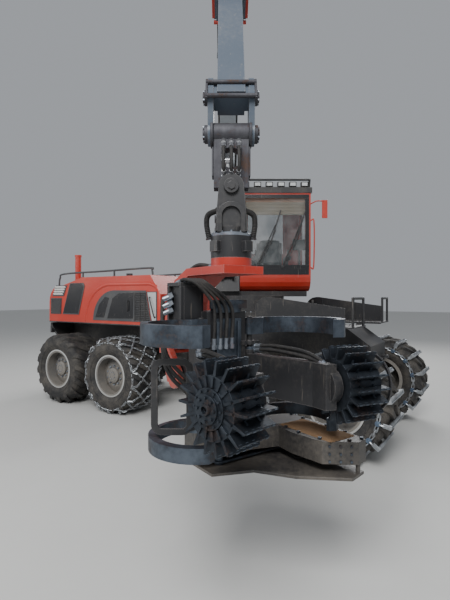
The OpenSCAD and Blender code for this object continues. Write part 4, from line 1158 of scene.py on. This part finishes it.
# %% Hoses of the booms
def hose_set(names, body, m, hoses, finish=WORN_STEEL, steps=8):
    """Hoses of one body, each from its radius and points, and their swaged fittings as a second piece."""
    rubber_part, steel_part = bmesh.new(), bmesh.new()
    for r, points in hoses:
        path = smooth_path(points, steps)
        tube(rubber_part, path, r, 12)
        for end, inner in ((path[0], path[2]), (path[-1], path[-3])):
            along = (inner - end).normalized()
            rod(steel_part, end - along * 0.022, end + along * 0.045, r * 1.35, 12)
            rod(steel_part, end - along * 0.030, end, r * 1.75, 6)
    piece(names % "hoses", rubber_part, HOSE, body, frame_matrix=m)
    piece(names % "fittings", steel_part, finish, body, frame_matrix=m)


main_hoses, outer_hoses = [], []
clamps, outer_clamps = bmesh.new(), bmesh.new()
for side in (-1, 1):
    for z in (0.075, 0.039, 0.003):
        main_hoses.append((0.013, [(0.32, side * 0.128, z), (0.6, side * 0.131, z),
                                   (2.2, side * 0.131, z * 0.9), (3.3, side * 0.131, z * 0.7),
                                   (3.55, side * 0.128, z * 0.7)]))
    for z in (0.185, 0.151, 0.117, 0.083):
        outer_hoses.append((0.012, [(0.66, side * 0.130, z), (0.9, side * 0.133, z), (1.5, side * 0.133, z),
                                    (1.88, side * 0.131, z)]))
    for x in (0.9, 1.6, 2.6, 3.3):
        block(clamps, (x - 0.02, side * 0.115, -0.02), (x + 0.02, side * 0.150, 0.10))
    for x in (0.95, 1.35, 1.75):
        block(outer_clamps, (x - 0.02, side * 0.115, 0.06), (x + 0.02, side * 0.152, 0.21))
hose_set("main_boom_%s", "main_boom", BOOM, main_hoses)
piece("main_boom_clamps", clamps, BLACK, "main_boom", bevel=0.004, frame_matrix=BOOM)
hose_set("outer_boom_%s", "outer_boom", OUTER, outer_hoses)
piece("outer_boom_clamps", outer_clamps, BLACK, "outer_boom", bevel=0.004, frame_matrix=OUTER)
print("hoses", len(main_hoses + outer_hoses))

# %% [markdown]
# ## The boom's tip
# At the fixed section's end a worn red collar with a knob stands on each side, and the tip casting holds
# round pin caps. They are turned or cut on the real boom, so bars and blocks with a bevel give them without
# any sculpting. The lower cap sits on the pin that carries the link, so its place comes from that joint.

# %% Collars and pin caps
TIP_X = (TIP - KNUCKLE).length
TIP_WALL, CAP_FACE = 0.158, 0.184
collar, caps, cap_bolts = bmesh.new(), bmesh.new(), bmesh.new()
for side in (-1, 1):
    block(collar, (2.02, side * 0.124, 0.02), (2.24, side * 0.150, 0.20))
    rod(collar, (2.13, side * 0.150, 0.15), (2.13, side * 0.182, 0.15), 0.030, 20)
    block(collar, (2.235, -0.137, 0.11 + side * 0.115 - 0.012), (2.262, 0.137, 0.11 + side * 0.115 + 0.012))
piece("boom_collar", collar, RED_WORN, "outer_boom", bevel=0.004, frame_matrix=OUTER)
for side in (-1, 1):
    wall, face = side * TIP_WALL, side * CAP_FACE
    for x, z, r in ((TIP_X, 0.0, 0.062), (3.40, 0.115, 0.052)):
        rod(caps, (x, wall, z), (x, face, z), r, 32)
        rod(caps, (x, face, z), (x, face + side * 0.012, z), r * 0.62, 24)
        for k in range(4):
            a = math.pi / 2 * k + 0.4
            at = Vector((x + r * 0.8 * math.cos(a), face, z + r * 0.8 * math.sin(a)))
            rod(cap_bolts, at, at + Vector((0, side * 0.010, 0)), 0.008, 6)
    block(caps, (3.33, wall, 0.19), (3.52, wall + side * 0.016, 0.215))
for x in (3.36, 3.50):
    rod(caps, (x, -0.172, 0.21), (x, 0.172, 0.21), 0.016, 14)
piece("tip_caps", caps, IRON, "extension", bevel=0.003, frame_matrix=OUTER)
piece("tip_bolts", cap_bolts, WORN_STEEL, "extension", frame_matrix=OUTER)

print("tip dressed")

# %% [markdown]
# ## The link
# The link under the boom's tip is a dark casting that swings on brake discs, with cheeks between its two
# pins and three hoses across its front. Discs are lathed and cheeks are cut plates, placed by the joints.

# %% Discs, cheeks and hoses of the link
TIP_Z = TIP.z
ROLL_Z = joint_pos("link_sway").z
DISC = [(0.030, 0.0), (0.088, 0.0), (0.092, 0.006), (0.092, 0.020), (0.070, 0.026), (0.030, 0.026)]
CHEEK = [(-0.05, ROLL_Z + 0.08), (-0.05, TIP_Z - 0.10), (0.05, TIP_Z - 0.10), (0.05, ROLL_Z + 0.08)]
discs, cheeks = bmesh.new(), bmesh.new()
for side in (-1, 1):
    lathe(discs, DISC, 40, axis_frame(Vector((0, side * 0.120, TIP_Z)), (0, side, 0)))
    for k in range(6):
        a = math.pi / 3 * k
        at = Vector((0.058 * math.cos(a), side * 0.146, TIP_Z + 0.058 * math.sin(a)))
        rod(discs, at, at + Vector((0, side * 0.008, 0)), 0.008, 6)
    plate(cheeks, CHEEK, 0.012, Matrix.Translation((0, side * 0.126, 0)) @ SIDE)
piece("link_discs", discs, IRON, "link_upper", bevel=0.002, frame_matrix=TIP_FRAME)
piece("link_cheeks", cheeks, IRON, "link_upper", bevel=0.003, frame_matrix=TIP_FRAME)

link_hoses = []
for y in (-0.052, 0.0, 0.052):
    link_hoses.append((0.012, [(0.062, y, ROLL_Z + 0.30), (0.115, y, ROLL_Z + 0.22),
                               (0.118, y, ROLL_Z + 0.12), (0.066, y * 0.9, ROLL_Z + 0.085)]))
hose_set("link_%s", "link_upper", TIP_FRAME, link_hoses, CHROME, 6)

print("link dressed")

# %% [markdown]
# ## The rotator's guard, rim and hoses
# An arched guard stands over the lower link's pin, and a bolted rim caps the rotator. The two hoses beside
# it are ribbed, which the tube gives by swelling every other ring.

# %% Guard, rim and ribbed hoses
ROTATOR_TOP = joint_pos("rotator_turn").z + 0.150
lower, ribbed, rim_ring, low_fittings = (bmesh.new() for _ in range(4))
guard_outside = [(-0.095, 0.02), (-0.095, 0.13)] + arc(0, 0.13, 0.095, 180, 0, 14) + [(0.095, 0.02)]
guard_inside = [(0.062, 0.02), (0.062, 0.13)] + arc(0, 0.13, 0.062, 0, 180, 12)[1:] + [(-0.062, 0.02)]
plate(lower, guard_outside + guard_inside, 0.020, Matrix.Translation((0.110, 0, ROTATOR_TOP)) @ FACING)
rod(lower, (0.085, 0, ROLL_Z), (0.122, 0, ROLL_Z), 0.050, 28)
rod(lower, (0.122, 0, ROLL_Z), (0.132, 0, ROLL_Z), 0.030, 6)
piece("link_lower_guard", lower, BLACK, "link_lower", bevel=0.003, frame_matrix=TIP_FRAME)
RIM = [(0.120, -0.002), (0.141, -0.002), (0.141, 0.012), (0.134, 0.020), (0.120, 0.020)]
lathe(rim_ring, RIM, 56, Matrix.Translation((0, 0, ROTATOR_TOP)))
bolt_ring(rim_ring, 12, 0.128, 0.008, ROTATOR_TOP + 0.018, ROTATOR_TOP + 0.030)
piece("rotator_rim", rim_ring, WORN_STEEL, "link_lower", frame_matrix=TIP_FRAME)
for side, y0 in ((-1, -0.155), (1, 0.150)):
    route = smooth_path([(0.03, side * 0.088, ROLL_Z - 0.150), (0.05, y0, ROLL_Z - 0.185),
                         (0.04, y0 * 1.08, ROTATOR_TOP + 0.08), (0.02, side * 0.150, ROTATOR_TOP - 0.02)], 18)
    tube(ribbed, route, 0.017, 12, 0.004)
    rod(low_fittings, route[0], route[2], 0.024, 12)
    rod(low_fittings, route[-3], route[-1], 0.024, 12)
piece("rotator_hoses", ribbed, HOSE, "link_lower", frame_matrix=TIP_FRAME)
piece("rotator_fittings", low_fittings, IRON, "link_lower", frame_matrix=TIP_FRAME)
print("rotator dressed")

# %% [markdown]
# ## Bolts on the turntable and pillar
# A slewing ring is bolted down all round, which gives the turntable its scale, and the crane's pillar has
# caps on the pin of its boom. Both follow their joints, so they stay in place if the frame changes.

# %% Ring of bolts and pillar caps
LIFT_Z = joint_pos("lift").z
ring_bolts, base_bolts = bmesh.new(), bmesh.new()
bolt_ring(ring_bolts, 40, 0.570, 0.014, SLEW.z, SLEW.z + 0.016)
piece("turntable_bolts", ring_bolts, WORN_STEEL, "front_frame", frame_matrix=MACHINE)
for side in (-1, 1):
    for x in (-0.14, 0.0, 0.14):
        rod(base_bolts, (x, side * 0.200, LIFT_Z - 0.34), (x, side * 0.212, LIFT_Z - 0.34), 0.020, 6)
    rod(base_bolts, (0, side * 0.205, LIFT_Z), (0, side * 0.225, LIFT_Z), 0.070, 28)
piece("pillar_caps", base_bolts, IRON, "upper", bevel=0.002, frame_matrix=CRANE)
print("turntable dressed")

# %% [markdown]
# ## The head's frame
# The head is a thick plate column that carries the valve box at its top and the saw box at its foot, whose
# front edge curves round the stem. The solid has a plainer saw box, so this piece stands for it: the same
# column, lugs and pins, with the curved box and the plate under it cut as outlines, which keeps every edge
# crisp.

# %% Column, valve box, saw box
PIN_H, PIN_L, ARM_Z = (round(c, 3) for c in HEAD.inverted() @ joint_pos("feed_arms"))
TILT_H, _, TILT_Z = (round(c, 3) for c in HEAD.inverted() @ joint_pos("head_tilt"))
SAW_TOP = 1.100


def at_height(z):
    """The move that lifts an outline drawn in the head's plan."""
    return Matrix.Translation((0, 0, z))


frame_parts = bmesh.new()
block(frame_parts, (-0.300, -0.165, 1.000), (-0.050, 0.165, 1.950))
tilt_lug = [(-0.29, TILT_Z - 0.15), (-0.29, TILT_Z + 0.15), (TILT_H, TILT_Z + 0.07), (TILT_H, TILT_Z - 0.07)]
plate(frame_parts, tilt_lug, 0.320, SIDE)
rod(frame_parts, (TILT_H, -0.160, TILT_Z), (TILT_H, 0.160, TILT_Z), 0.070, 36)
rod(frame_parts, (TILT_H, -0.220, TILT_Z), (TILT_H, 0.220, TILT_Z), 0.035, 28)
block(frame_parts, (-0.320, -0.165, 1.845), (-0.120, -0.150, 2.150))
block(frame_parts, (-0.320, -0.305, 1.820), (-0.120, -0.150, 2.125))
VALVE_RIM = [((-0.320, -0.330, 1.820), (-0.120, -0.305, 1.845)),
             ((-0.320, -0.330, 2.125), (-0.120, -0.150, 2.150)),
             ((-0.320, -0.330, 1.845), (-0.295, -0.305, 2.125)),
             ((-0.145, -0.330, 1.845), (-0.120, -0.305, 2.125))]
for low, high in VALVE_RIM:
    block(frame_parts, low, high)
SAW_BOX = [(-0.300, -0.200), (-0.010, -0.200), (-0.010, 0.200), (0.050, 0.395), (0.209, 0.375),
           (0.468, 0.400), (0.616, 0.587), (0.600, 0.680), (0.280, 0.720), (-0.150, 0.720), (-0.300, 0.570)]
SAW_PLATE = [(-0.300, -0.200), (0.060, -0.200), (0.165, 0.070), (0.400, 0.230), (0.636, 0.500),
             (0.600, 0.660), (0.290, 0.690), (-0.150, 0.690), (-0.300, 0.560)]
plate(frame_parts, SAW_BOX, 0.150, at_height(SAW_TOP - 0.075))
plate(frame_parts, SAW_PLATE, 0.020, at_height(0.880))
block(frame_parts, (-0.300, -0.200, 0.870), (-0.210, 0.560, 0.960))
for h, l in ((0.590, 0.610), (0.330, 0.685)):
    rod(frame_parts, (h, l, 0.889), (h, l, 0.951), 0.015, 16)
for side in (-1, 1):
    for z in (1.280, 1.705):
        rod(frame_parts, (PIN_H, side * PIN_L, z), (PIN_H, side * PIN_L, z + 0.030), 0.042, 28)
        block(frame_parts, (PIN_H - 0.080, min(side * 0.100, side * PIN_L), z),
              (PIN_H + 0.020, max(side * 0.100, side * PIN_L), z + 0.030))
    rod(frame_parts, (PIN_H, side * PIN_L, 0.950), (PIN_H, side * PIN_L, 1.150), 0.042, 28)
    rod(frame_parts, (PIN_H, side * PIN_L, 1.149), (PIN_H, side * PIN_L, 1.909), 0.022, 24)
made_frame = piece("head_frame_made", frame_parts, BLACK, "head", bevel=0.003,
                   frame_matrix=HEAD)
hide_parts("head_frame")
print("head frame", len(made_frame.data.polygons))

# %% [markdown]
# ## The fixed knife
# A curved knife on top of the column strips the side of the stem that the swinging knives can't reach. Its
# edge is an arc about the stem, so the outline is worked out from the arc's centre and radius.

# %% Fixed knife
top_knife = bmesh.new()
EDGE_C, EDGE_R, EDGE_HALF = 0.245, 0.300, 0.150
top_edge = [(EDGE_C - math.sqrt(EDGE_R ** 2 - l * l), l) for l in (EDGE_HALF * k / 3 for k in range(-3, 4))]
back_edge = [(h - 0.030 - (EDGE_HALF - abs(l)) * 0.054, l) for h, l in reversed(top_edge)]
plate(top_knife, top_edge + back_edge, 0.060, at_height(2.000))
block(top_knife, (-0.080, -0.120, 1.940), (-0.040, 0.120, 2.000))
piece("head_fixed_knife", top_knife, HEAD_STEEL, "head", bevel=0.003, frame_matrix=HEAD)
print("fixed knife", round(2 * EDGE_HALF, 2), "m wide")

# %% [markdown]
# ## Feed rollers
# Each roller is a drum of hard steel paddles that bite the bark, with small teeth along each paddle's edge
# and a bolted cap. One paddle is drawn as a tapered outline and a loop turns copies of it round the drum,
# which is quicker and cleaner than an array modifier bent into a circle. The drum takes the place and size
# of the solid one.

# %% Rollers
PADDLE_N = 18
ROLLER_HALF = 0.120
ROLLER_R = 0.240
CORE_R = 0.165
BORE_R = 0.0612


def taper(r0, half0, r1, half1):
    """Outline of a bar that runs outward and changes its half width from one radius to another."""
    return [(r0, -half0), (r1, -half1), (r1, half1), (r0, half0)]


PADDLE = taper(CORE_R - 0.010, 0.010, ROLLER_R, 0.006)
TOOTH = taper(0.228, 0.0075, 0.244, 0.002)
GUSSET = taper(0.160, 0.022, 0.196, 0.008)
CAP_RIB = taper(0.108, 0.008, 0.158, 0.006)


def feed_roller(tag, joint):
    """The drum with its paddles, and the teeth, ribs and bolts on them."""
    body = "feed_roller_" + tag
    m = axis_frame(joint_pos(joint), joint_axis(joint))
    drum, teeth, face = bmesh.new(), bmesh.new(), bmesh.new()
    lathe(drum, [(BORE_R, -ROLLER_HALF), (CORE_R, -ROLLER_HALF), (CORE_R, ROLLER_HALF), (0.105, ROLLER_HALF),
                 (0.105, ROLLER_HALF + 0.015), (0.075, ROLLER_HALF + 0.015), (0.075, ROLLER_HALF + 0.030),
                 (0.010, ROLLER_HALF + 0.030), (0.010, 0.025), (BORE_R, 0.025)], 72)
    for i in range(PADDLE_N):
        turn = Matrix.Rotation(2 * math.pi * i / PADDLE_N, 4, "Z")
        plate(drum, PADDLE, 2 * ROLLER_HALF, turn)
        for k in range(5):
            plate(teeth, TOOTH, 0.020, turn @ at_height(-ROLLER_HALF + 0.024 + 0.048 * k))
        for z in (-0.05, 0.05):
            plate(teeth, GUSSET, 0.014, turn @ at_height(z))
        plate(face, CAP_RIB, 0.012, turn @ at_height(ROLLER_HALF + 0.004))
    for count, r, base, bolt in ((8, 0.058, 0.029, 0.009), (12, 0.091, 0.014, 0.007)):
        bolt_ring(face, count, r, bolt, ROLLER_HALF + base, ROLLER_HALF + base + 0.011)
    lathe(face, [(0.018, ROLLER_HALF + 0.028), (0.034, ROLLER_HALF + 0.028), (0.030, ROLLER_HALF + 0.044),
                 (0.018, ROLLER_HALF + 0.044)], 24)
    made = piece("roller_made_" + tag, drum, HEAD_DARK, body, bevel=0.0015, frame_matrix=m)
    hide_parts(body)
    piece("roller_teeth_" + tag, teeth, HEAD_STEEL, body, frame_matrix=m)
    piece("roller_face_" + tag, face, HEAD_DARK, body, bevel=0.001, frame_matrix=m)


feed_roller("left", "feed_rollers")
feed_roller("right", "feed_roller_right_spin")
print("rollers dressed")

# %% [markdown]
# ## Guards on the feed arms
# A ring stands before the left roller's free face and a loop beside the right arm keeps stems off its
# hoses. Both are burnt from plate and held by a bar, so each is a lathed or cut ring with a bar that ends
# in the arm.

# %% Ring guard and loop guard
RING_BRACKET = [(0.300, 0.290, ARM_Z), (0.315, 0.480, ARM_Z), (0.345, 0.675, ARM_Z), (0.400, 0.690, ARM_Z),
                (0.470, 0.678, ARM_Z)]
ring, loop = bmesh.new(), bmesh.new()
LEFT_ROLLER = HEAD.inverted() @ axis_frame(joint_pos("feed_rollers"), joint_axis("feed_rollers"))
lathe(ring, [(0.175, ROLLER_HALF + 0.046), (0.195, ROLLER_HALF + 0.046), (0.195, ROLLER_HALF + 0.058),
             (0.175, ROLLER_HALF + 0.058)], 64, LEFT_ROLLER)
tube(ring, smooth_path(RING_BRACKET, 6), 0.014, 14)
piece("ring_guard", ring, BLACK, "feed_arm_left", bevel=0.002, frame_matrix=HEAD)


def rounded(width, height, corner):
    """Outline of a rectangle with round corners."""
    x, y = width / 2 - corner, height / 2 - corner
    outline = []
    for k, (cx, cy) in enumerate(((x, y), (-x, y), (-x, -y), (x, -y))):
        outline += arc(cx, cy, corner, 90 * k, 90 * (k + 1), 6)
    return outline


outer = rounded(0.236, 0.430, 0.060)
inner = rounded(0.160, 0.354, 0.022)
upright = Matrix(((0, 0, 1, 0), (-1, 0, 0, 0), (0, 1, 0, 0), (0, 0, 0, 1)))
turned = Matrix.Translation((0.265, -0.600, 1.490)) @ Matrix.Rotation(math.radians(-35), 4, "Z") @ upright
sheets = [[loop.verts.new(turned @ Vector((x, y, z))) for x, y in line]
          for line, z in ((outer, 0), (outer, 0.014), (inner, 0.014), (inner, 0))]
skin(loop, sheets, round_again=True)
rod(loop, (0.290, -0.280, 1.430), (0.327, -0.531, 1.430), 0.016, 18)
piece("loop_guard", loop, BLACK, "feed_arm_right", bevel=0.002, frame_matrix=HEAD)
print("guards ready")

# %% [markdown]
# ## Hoses of the head and the arch
# The head is crowded with hoses from the valve box to the column and over the arch of the tilt frame. Each
# one rides on one body, so no hose crosses the tilt: a free cord would have to bend at every pose.

# %% Hoses of the head and the arch
head_hoses = []
for k in range(4):
    l = -0.305 + 0.036 * k
    foot = -0.12 + 0.05 * k
    head_hoses.append((0.012, [(-0.19, l, 2.150), (-0.10, l, 2.168), (-0.035, l * 0.8, 2.13),
                               (-0.030, foot - 0.005, 1.98), (-0.034, foot, 1.72)]))
for k in range(3):
    z = 1.95 + 0.05 * k
    head_hoses.append((0.014, [(-0.28, -0.335, z), (-0.30, -0.375, z - 0.05), (-0.27, -0.360, z - 0.40),
                               (-0.20, -0.175, 1.32 + 0.05 * k)]))
for side in (-1, 1):
    head_hoses.append((0.013, [(-0.036, side * 0.06, 1.60), (0.0, side * 0.05, 1.50),
                               (0.012, side * 0.04 - 0.01, 1.32), (-0.036, side * 0.06, 1.18)]))
hose_set("head_%s", "head", HEAD, head_hoses)
arch_hoses = []
for side in (-1, 1):
    arch_hoses.append((0.015, [(-0.10, side * 0.075, 2.262), (-0.32, side * 0.078, 2.284),
                               (-0.505, side * 0.080, 2.205), (-0.640, side * 0.081, 2.060),
                               (-0.700, side * 0.082, 1.86), (-0.695, side * 0.082, 1.70)]))
hose_set("arch_%s", "tilt_frame", HEAD, arch_hoses)

print("head and arch hoses", len(head_hoses + arch_hoses))

# %% [markdown]
# ## Hoses and bolts of the feed arms
# Two hoses run along each arm to its motor. They begin at the arm's own hub, where it turns least, and the
# bolts of the arm's plates and its pin's cap ride with them.

# %% Hoses and bolts of the feed arms
for side, tag in ((1, "left"), (-1, "right")):
    body = "feed_arm_" + tag
    arm_hoses = []
    for k in range(2):
        z = 1.665 + 0.028 * k
        arm_hoses.append((0.013, [(-0.02, side * 0.235, z), (0.12, side * (0.255 + 0.02 * k), z + 0.012),
                                  (0.36, side * (0.290 + 0.02 * k), z),
                                  (0.53, side * 0.300, 1.640 + 0.02 * k),
                                  (0.575, side * (0.290 + 0.03 * k), 1.612)]))
    hose_set("arm_%s_" + tag, body, HEAD, arm_hoses)
    bolts = bmesh.new()
    for x, l in ((0.10, 0.2775), (0.22, 0.296), (0.34, 0.314)):
        for z in (1.42, 1.58):
            rod(bolts, (x, side * l, z), (x - 0.002, side * (l + 0.014), z), 0.015, 6)
    rod(bolts, (PIN_H, side * PIN_L, 1.668), (PIN_H, side * PIN_L, 1.690), 0.036, 24)
    piece("arm_bolts_" + tag, bolts, HEAD_STEEL, body, bevel=0.002, frame_matrix=HEAD)
print("arm hoses ready")

# %% [markdown]
# ## Wear plate and bolts
# The column's front carries a ribbed wear plate that the stem slides on, and the saw box is bolted
# together. The bolts on its curved edge are spaced along the edge of the same outline, so they can't leave
# it.

# %% Wear plate and bolts
wear, box_bolts = bmesh.new(), bmesh.new()
block(wear, (-0.0505, -0.120, 1.16), (-0.040, 0.120, 1.90))
for l in (-0.09, 0.09):
    block(wear, (-0.041, l - 0.012, 1.18), (-0.024, l + 0.012, 1.88))
piece("head_wear_plate", wear, HEAD_STEEL, "head", bevel=0.003, frame_matrix=HEAD)
TOP_BOLTS = [(0.10, 0.42), (0.24, 0.41), (0.42, 0.43), (0.56, 0.56), (0.58, 0.66), (0.42, 0.685),
             (0.24, 0.695), (0.0, 0.695), (-0.13, 0.695), (-0.26, 0.575), (-0.27, 0.35), (-0.04, 0.24)]
for h, l in TOP_BOLTS:
    rod(box_bolts, (h, l, SAW_TOP), (h, l, SAW_TOP + 0.012), 0.014, 6)
edge_start, edge_end = Vector(SAW_BOX[5]), Vector(SAW_BOX[6])
for z in (0.97, 1.02, 1.07):
    for t in (0.2, 0.5, 0.8):
        h, l = edge_start.lerp(edge_end, t)
        rod(box_bolts, (h, l, z), (h + 0.008, l - 0.006, z), 0.009, 6)
piece("saw_box_bolts", box_bolts, HEAD_STEEL, "head", frame_matrix=HEAD)
print("wear plate and bolts ready")

# %% [markdown]
# ## Sawdust
# Sawdust lies on the saw box. It is a low grid with a seeded random height and a ragged edge, because a
# flat brown patch would look painted on.

# %% Heap of sawdust
random.seed(7)
GRID = 26
dust = bmesh.new()
cells = {}
for i in range(GRID + 1):
    for j in range(GRID + 1):
        h = 0.02 + 0.50 * i / GRID
        l = 0.43 + 0.24 * j / GRID
        edge = min(i, j, GRID - i, GRID - j) / (GRID / 2)
        heap = 0.004 + 0.022 * edge ** 0.6 + random.uniform(-0.0025, 0.0025)
        cells[i, j] = dust.verts.new((h + random.uniform(-0.006, 0.006), l + random.uniform(-0.004, 0.004),
                                      SAW_TOP + (heap if 0 < i < GRID and 0 < j < GRID else 0.0005)))
for i in range(GRID):
    for j in range(GRID):
        dust.faces.new((cells[i, j], cells[i + 1, j], cells[i + 1, j + 1], cells[i, j + 1]))
floor_edge = [cells[i, 0] for i in range(GRID)] + [cells[GRID, j] for j in range(GRID)]
floor_edge += [cells[GRID - i, GRID] for i in range(GRID)] + [cells[0, GRID - j] for j in range(GRID)]
dust.faces.new(floor_edge)
piece("sawdust_heap", dust, SAWDUST, "head", frame_matrix=HEAD)
print("sawdust", GRID * GRID, "cells")

# %% [markdown]
# ## Tread and box on the front frame
# The fender decks are tread plate with low studs, and a small grey box stands on the right one. The studs
# are one joined mesh of flat diamonds laid by two loops.

# %% Deck details
DECK_TOP = 1.650
STUD = [(-0.017, 0), (0, -0.005), (0.017, 0), (0, 0.005)]
deck_studs, grey_box = bmesh.new(), bmesh.new()
for side in (-1, 1):
    for i in range(26):
        for j in range(8):
            x = 0.66 + 0.053 * i
            y = side * (0.50 + 0.055 * j)
            a = math.radians(45 if (i + j) % 2 else -45)
            m = Matrix.Translation((x, y, DECK_TOP + 0.0015)) @ Matrix.Rotation(a, 4, "Z")
            plate(deck_studs, STUD, 0.003, m)
piece("deck_studs", deck_studs, BLACK, "front_frame", smooth=False, frame_matrix=MACHINE)
block(grey_box, (0.70, -0.86, DECK_TOP + 0.002), (0.98, -0.64, 1.80))
block(grey_box, (0.69, -0.87, 1.795), (0.99, -0.63, 1.815))
rod(grey_box, (0.99, -0.75, 1.75), (1.0, -0.75, 1.75), 0.014, 12)
piece("deck_box", grey_box, LIGHT_GREY, "front_frame", bevel=0.006, frame_matrix=MACHINE)
print("deck dressed")
